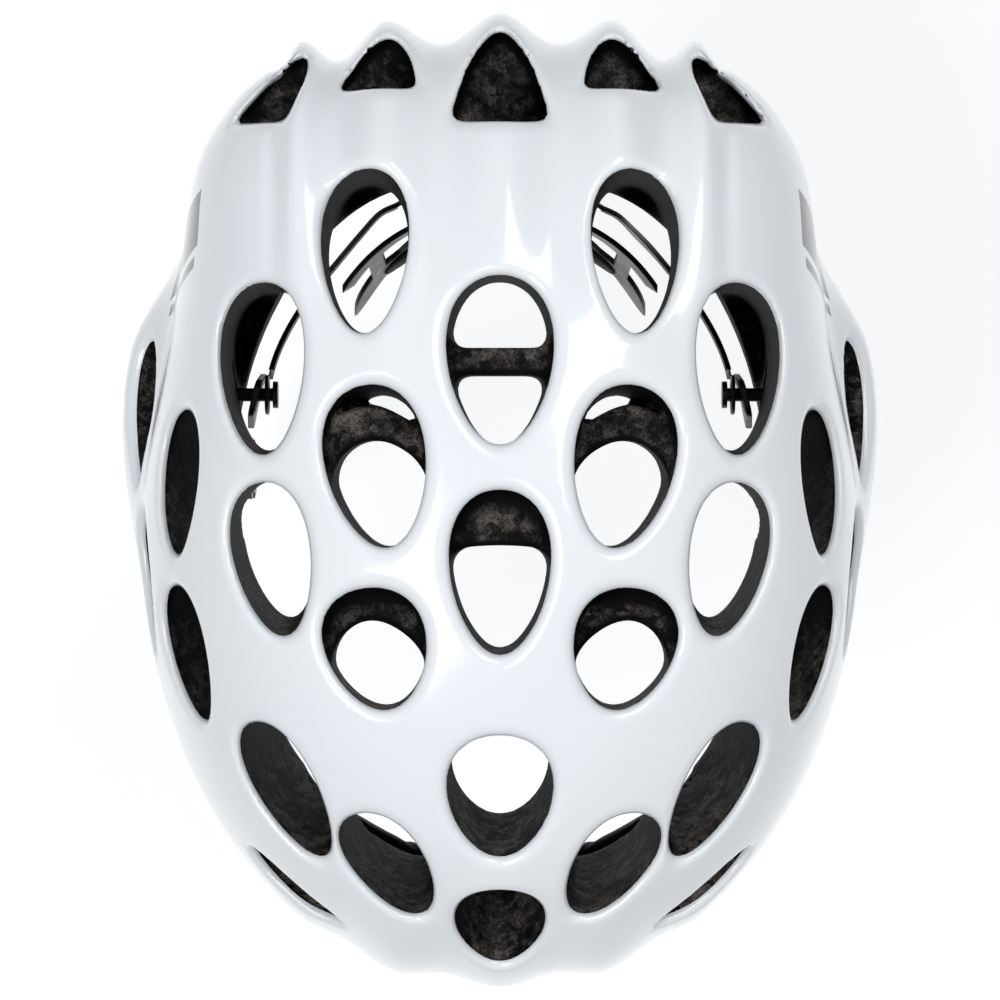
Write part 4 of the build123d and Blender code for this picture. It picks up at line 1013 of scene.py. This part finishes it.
class Finish:
    """Principled material with its texture nodes."""

    def __init__(self, name, colour, roughness, **settings):
        self.material = bpy.data.materials.new(name)
        self.material.use_nodes = True
        self.tree = self.material.node_tree
        self.shader = self.tree.nodes["Principled BSDF"]
        self.set("Base Color", (*colour, 1.0) if not hasattr(colour, "node") else colour)
        self.set("Roughness", roughness)
        for key, value in settings.items():
            self.set(key.replace("_", " "), value)
        self.coordinates = self.node("ShaderNodeTexCoord").outputs["Object"]

    def set(self, socket, value):
        if hasattr(value, "node"):
            self.tree.links.new(value, self.shader.inputs[socket])
        else:
            self.shader.inputs[socket].default_value = value

    def node(self, kind, inputs=None, **settings):
        made = self.tree.nodes.new(kind)
        for key, value in settings.items():
            setattr(made, key, value)
        for key, value in (inputs or {}).items():
            if hasattr(value, "node"):
                self.tree.links.new(value, made.inputs[key])
            else:
                made.inputs[key].default_value = value
        return made

    def noise(self, scale, detail=3.0, vector=None, roughness=0.5):
        return self.node("ShaderNodeTexNoise", {"Vector": vector or self.coordinates, "Scale": scale,
                                                "Detail": detail, "Roughness": roughness}).outputs[0]

    def cells(self, scale, output="Distance", feature="F1", vector=None, randomness=1.0):
        made = self.node("ShaderNodeTexVoronoi", {"Vector": vector or self.coordinates, "Scale": scale,
                                                  "Randomness": randomness}, feature=feature)
        return made.outputs[output]

    def range(self, value, from_low, from_high, to_low, to_high):
        return self.node("ShaderNodeMapRange", {"Value": value, "From Min": from_low,
                                                "From Max": from_high, "To Min": to_low,
                                                "To Max": to_high}).outputs[0]

    def math(self, operation, a, b=0.0, c=0.0):
        return self.node("ShaderNodeMath", {0: a, 1: b, 2: c}, operation=operation).outputs[0]

    def mix(self, share, first, second):
        made = self.node("ShaderNodeMix", {0: share}, data_type="RGBA")
        for slot_number, value in ((6, first), (7, second)):
            if hasattr(value, "node"):
                self.tree.links.new(value, made.inputs[slot_number])
            else:
                made.inputs[slot_number].default_value = (*value, 1.0)
        return made.outputs[2]

    def bump(self, height, distance, strength):
        inputs = {"Height": height, "Distance": distance, "Strength": strength}
        return self.node("ShaderNodeBump", inputs).outputs[0]

    def axes(self):
        made = self.node("ShaderNodeSeparateXYZ", {0: self.coordinates})
        return made.outputs[0], made.outputs[1], made.outputs[2]


# slanted side stripes: slant, place, half width, lowest and highest point, colour
STRIPES = [
    (-0.35, 0.0465, 0.0080, 0.056, 0.096, (0.008, 0.0075, 0.0075)),
    (-0.35, 0.0345, 0.0016, 0.058, 0.094, (0.03, 0.028, 0.028)),
]


def gloss_shell():
    """Glossy white moulded skin with a plain two-tone slanted stripe on each side."""
    f = Finish("gloss_white_skin", (0.85, 0.875, 0.9), 0.2, Coat_Weight=0.6, Coat_Roughness=0.04,
               IOR=1.5)
    broad = f.noise(9.0, 2.0)
    tint = f.mix(f.range(broad, 0.3, 0.7, 0, 1), (0.84, 0.868, 0.9), (0.865, 0.885, 0.905))
    x, y, z = f.axes()
    side = f.math("GREATER_THAN", f.math("ABSOLUTE", x), 0.07)
    for lean, offset, half, low, high, colour in STRIPES:
        place = f.math("MULTIPLY_ADD", z, lean, y)
        band = f.math("COMPARE", place, offset, half)
        inside = f.math("MULTIPLY", f.math("GREATER_THAN", z, low), f.math("LESS_THAN", z, high))
        inside = f.math("MULTIPLY", inside, side)
        tint = f.mix(f.math("MULTIPLY", band, inside), tint, colour)
    f.set("Base Color", tint)
    f.set("Roughness", f.range(f.noise(60.0, 3.0), 0.3, 0.7, 0.16, 0.24))
    f.set("Normal", f.bump(f.noise(420.0, 1.0), 0.00006, 0.25))
    return f.material


def bead_foam():
    """Black expanded foam: fused beads with pale speckles of their own mottling, made brighter where the
    surface faces up and back as painted light.
    """
    f = Finish("black_bead_foam", (0.02, 0.02, 0.02), 0.5, Specular_IOR_Level=0.1)
    warp = f.node("ShaderNodeTexNoise", {"Vector": f.coordinates, "Scale": 210.0, "Detail": 3.0})
    moved = f.node("ShaderNodeVectorMath", {0: warp.outputs["Color"], 1: (0.0035,) * 3},
                   operation="MULTIPLY").outputs[0]
    vector = f.node("ShaderNodeVectorMath", {0: f.coordinates, 1: moved}, operation="ADD").outputs[0]
    edge = f.cells(430.0, "Distance", "DISTANCE_TO_EDGE", vector)
    seam = f.range(edge, 0.0, 0.25, 0.0, 1.0)
    tone = f.node("ShaderNodeSeparateColor", {0: f.cells(430.0, "Color", "F1", vector)}).outputs[0]
    fine = f.noise(1300.0, 5.0, roughness=0.75)
    patch = f.noise(120.0, 5.0, roughness=0.65)
    level = f.math("MULTIPLY", f.range(tone, 0, 1, 0.3, 1.4), f.range(patch, 0.35, 0.65, 0.15, 1.8))
    level = f.math("MULTIPLY", level, f.range(fine, 0.38, 0.62, 0.35, 1.9))
    # painted light: the pale speckles are made brighter where the surface faces up and back, and darker
    # where it faces away
    facing = f.node("ShaderNodeNewGeometry").outputs["Normal"]
    facing = f.node("ShaderNodeVectorMath", {0: facing, 1: (0.0, 0.85, 0.6)},
                    operation="DOT_PRODUCT").outputs["Value"]
    speckle_and_painted_light = f.math("MULTIPLY", level, f.range(facing, 0.15, 0.85, 0.12, 1.1))
    f.set("Base Color", f.mix(f.range(speckle_and_painted_light, 0.25, 2.6, 0.0, 1.0), (0.0045, 0.0038, 0.0037),
                              (0.17, 0.152, 0.142)))
    f.set("Roughness", f.range(fine, 0.3, 0.7, 0.6, 0.8))
    height = f.math("MULTIPLY_ADD", fine, 0.5, seam)
    f.set("Normal", f.bump(height, 0.0003, 0.4))
    return f.material


def moulded(name, colour, roughness, grain=900.0, depth=0.00005, coat=0.0):
    """Moulded plastic with a fine spark-eroded grain and slight wear in its sheen."""
    f = Finish(name, colour, roughness, Coat_Weight=coat)
    lighter = tuple(min(c * 1.5 + 0.006, 1.0) for c in colour)
    f.set("Base Color", f.mix(f.range(f.noise(45.0, 4.0), 0.35, 0.75, 0, 0.7), colour, lighter))
    f.set("Roughness", f.range(f.noise(110.0, 4.0), 0.3, 0.7, roughness - 0.07, roughness + 0.1))
    f.set("Normal", f.bump(f.noise(grain, 2.0), depth, 0.6))
    return f.material


def soft_rubber(name, colour, roughness):
    f = Finish(name, colour, roughness, Specular_IOR_Level=0.35)
    dust = f.range(f.noise(130.0, 5.0, roughness=0.65), 0.5, 0.8, 0.0, 0.6)
    f.set("Base Color", f.mix(dust, colour, tuple(c * 2.4 + 0.01 for c in colour)))
    f.set("Normal", f.bump(f.noise(1800.0, 2.0), 0.00004, 0.7))
    return f.material


def brushed_steel():
    f = Finish("steel", (0.56, 0.56, 0.57), 0.3, Metallic=1.0)
    stretched = f.node("ShaderNodeMapping", {"Vector": f.coordinates, "Scale": (1.0, 0.1, 1.0)}).outputs[0]
    streak = f.noise(2600.0, 2.0, stretched)
    f.set("Roughness", f.range(streak, 0.3, 0.7, 0.22, 0.4))
    f.set("Base Color", f.mix(f.noise(300.0, 3.0), (0.42, 0.42, 0.43), (0.62, 0.62, 0.63)))
    f.set("Normal", f.bump(streak, 0.00001, 0.5))
    return f.material


def woven_webbing():
    """Flat polyester webbing: a herringbone of yarns, laid along the strap's own UV map."""
    f = Finish("black_webbing", (0.014, 0.014, 0.015), 0.62, Sheen_Weight=0.25, Sheen_Roughness=0.4,
               Specular_IOR_Level=0.4)
    uv = f.node("ShaderNodeUVMap", uv_map="strap").outputs[0]
    parts = f.node("ShaderNodeSeparateXYZ", {0: uv})
    across, along = parts.outputs[0], parts.outputs[1]
    column = f.math("PINGPONG", f.math("ADD", across, 0.5), 0.0025)
    slope = f.math("MULTIPLY_ADD", column, 1.1, along)
    yarn = f.math("ABSOLUTE", f.math("SINE", f.math("MULTIPLY", slope, math.pi / 0.0011)))
    rib = f.math("ABSOLUTE", f.math("SINE", f.math("MULTIPLY", across, math.pi / 0.00085)))
    weave = f.math("MULTIPLY", f.math("POWER", yarn, 0.6), f.range(rib, 0, 1, 0.6, 1.0))
    fuzz = f.noise(2600.0, 3.0)
    f.set("Base Color", f.mix(f.math("MULTIPLY", weave, f.range(fuzz, 0.3, 0.7, 0.6, 1.0)),
                              (0.004, 0.004, 0.004), (0.032, 0.032, 0.034)))
    f.set("Roughness", f.range(weave, 0, 1, 0.75, 0.5))
    f.set("Normal", f.bump(f.math("MULTIPLY_ADD", fuzz, 0.2, weave), 0.0002, 0.8))
    return f.material


def knit_padding(name, colour, high):
    """Brushed knit over foam: small loops in rows with a soft nap."""
    f = Finish(name, colour, 0.85, Sheen_Weight=0.35, Sheen_Roughness=0.5, Specular_IOR_Level=0.25)
    loops = f.cells(1150.0, "Distance", "F1", None, 0.45)
    loop = f.range(loops, 0.0, 0.6, 1.0, 0.0)
    nap = f.noise(3200.0, 4.0, roughness=0.7)
    wear = f.noise(55.0, 4.0)
    shade = f.math("MULTIPLY", f.range(loop, 0, 1, 0.45, 1.0), f.range(wear, 0.3, 0.7, 0.7, 1.1))
    f.set("Base Color", f.mix(shade, tuple(c * 0.35 for c in colour), high))
    f.set("Normal", f.bump(f.math("MULTIPLY_ADD", nap, 0.35, loop), 0.00022, 0.7))
    return f.material


def hook_tape():
    f = Finish("hook_tape", (0.02, 0.02, 0.021), 0.6)
    hooks = f.range(f.cells(1400.0, "Distance", "F1", None, 0.15), 0.0, 0.35, 1.0, 0.0)
    f.set("Base Color", f.mix(hooks, (0.006, 0.006, 0.006), (0.06, 0.06, 0.062)))
    f.set("Normal", f.bump(hooks, 0.0004, 1.0))
    return f.material


FINISHES = {
    "shell": gloss_shell(),
    "foam": bead_foam(),
    "rim": soft_rubber("rim_bead_rubber", (0.018, 0.018, 0.019), 0.5),
    "padding": knit_padding("black_knit", (0.02, 0.02, 0.022), (0.055, 0.055, 0.06)),
    "hook_tape": hook_tape(),
    "steel": brushed_steel(),
    "webbing": woven_webbing(),
    "rubber": soft_rubber("grip_rubber", (0.025, 0.025, 0.026), 0.6),
    "buckle_plastic": moulded("buckle_acetal", (0.016, 0.016, 0.017), 0.34),
    "knob_plastic": moulded("knob_plastic", (0.03, 0.03, 0.032), 0.4),
    "cradle_plastic": moulded("cradle_nylon", (0.02, 0.02, 0.021), 0.36, 700.0),
}


def finish_piece(made, slot_name, node, body=None):
    """Gives a piece its material and slot, hides the CAD node that it stands for and fixes it to a body."""
    made.data.materials.clear()
    made.data.materials.append(FINISHES[slot_name])
    if body:
        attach(made, body)
    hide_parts(node)


for row in frame["record"]["subparts"]:
    cad_piece = frame["nodes"][row["node"]]
    for number in range(len(cad_piece.material_slots)):
        cad_piece.material_slots[number].link = "OBJECT"
        cad_piece.material_slots[number].material = FINISHES[row["material_slot"]]

finish_piece(outer_shell, "shell", "outer_shell", "helmet")
finish_piece(lower_shell, "shell", "lower_shell", "helmet")
finish_piece(foam, "foam", "foam_liner", "helmet")
finish_piece(rim_bead, "rim", "rim_trim", "helmet")
for node, (made, body) in strap_pieces.items():
    finish_piece(made, "webbing", node, body)
for node, (made, body, fill) in cushions.items():
    finish_piece(made, "padding", node, body)
for side_name, made in bands.items():
    side = SIDES[side_name]
    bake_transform(made)
    finish_piece(made, "cradle_plastic", f"band_{side_name}")

# moulded and turned pieces that stay as their CAD nodes get worn edges
EDGE_WIDTHS = {"cradle_plastic": 0.00035, "buckle_plastic": 0.0006, "knob_plastic": 0.0003,
               "rubber": 0.0003, "steel": 0.00012}
for row in frame["record"]["subparts"]:
    cad_piece = frame["nodes"][row["node"]]
    if not cad_piece.hide_render and row["material_slot"] in EDGE_WIDTHS and cad_piece.type == "MESH":
        weld = cad_piece.modifiers.new("weld", "WELD")
        weld.merge_threshold = 1e-6
        edge = cad_piece.modifiers.new("edge", "BEVEL")
        edge.width = EDGE_WIDTHS[row["material_slot"]]
        edge.segments = 3
        edge.limit_method = "ANGLE"
        edge.angle_limit = math.radians(40)
        edge.harden_normals = True

# ---------------------------------------------------------------- floor, light and camera
FLOOR_Z = -0.31
FLOOR_REACH = 6.0
# painted light: the floor glows and is paler in a pool under the helmet
PAINTED_POOL_EDGE = (0.26, 0.8)    # distances between which the floor's glow fades
PAINTED_GLOW = 0.36
LAMP_AIM = (0, 0, 0.05)
CAMERA_PLACE = (0, -0.0003, 1.345)
SENSOR = 36.0
LENS = 158.5


def lamp(name, place, size, power):
    """Soft square light that faces the helmet."""
    light = bpy.data.lights.new(name, "AREA")
    light.shape = "RECTANGLE"
    light.size = light.size_y = size
    light.energy = power
    made = linked(name, light)
    made.location = place
    made.rotation_euler = (Vector(LAMP_AIM) - Vector(place)).to_track_quat("-Z", "Y").to_euler()


def studio_floor():
    """White paper with painted light: it glows a little in a pool below the helmet, and its colour is paler
    in that pool than further out.
    """
    reach = FLOOR_REACH
    mesh = bpy.data.meshes.new("floor")
    mesh.from_pydata([(-reach, -reach, FLOOR_Z), (reach, -reach, FLOOR_Z), (reach, reach, FLOOR_Z),
                      (-reach, reach, FLOOR_Z)], [], [(0, 1, 2, 3)])
    f = Finish("floor_white", (0.93, 0.93, 0.93), 0.9)
    across, along, _ = f.axes()
    square = f.math("ADD", f.math("MULTIPLY", across, across), f.math("MULTIPLY", along, along))
    painted_light_pool = f.range(f.math("SQRT", square), *PAINTED_POOL_EDGE, 1.0, 0.0)
    tone = f.mix(f.noise(3.0, 2.0), (0.925, 0.927, 0.93), (0.94, 0.94, 0.94))
    # painted light: paler colour and a glow inside the pool under the helmet, greyer paper further out
    f.set("Base Color", f.mix(painted_light_pool, (0.82, 0.82, 0.825), tone))
    f.set("Emission Color", (1.0, 1.0, 1.0, 1.0))
    f.set("Emission Strength", f.math("MULTIPLY", painted_light_pool, PAINTED_GLOW))
    mesh.materials.append(f.material)
    return linked("floor", mesh)


studio_floor()

world = bpy.data.worlds.new("studio")
world.use_nodes = True
background = world.node_tree.nodes["Background"]
background.inputs["Color"].default_value = (0.93, 0.965, 1.0, 1.0)
background.inputs["Strength"].default_value = 0.46
bpy.context.scene.world = world
bpy.context.scene.view_settings.view_transform = "Standard"

lamp("key", (-0.5, -0.4, 1.5), 0.7, 10.0)
lamp("fill", (0.55, 0.5, 1.5), 0.8, 7.0)

camera_data = bpy.data.cameras.new("camera")
camera_data.lens = LENS
camera_data.sensor_width = SENSOR
camera = linked("camera", camera_data)
camera.location = CAMERA_PLACE
bpy.context.scene.camera = camera
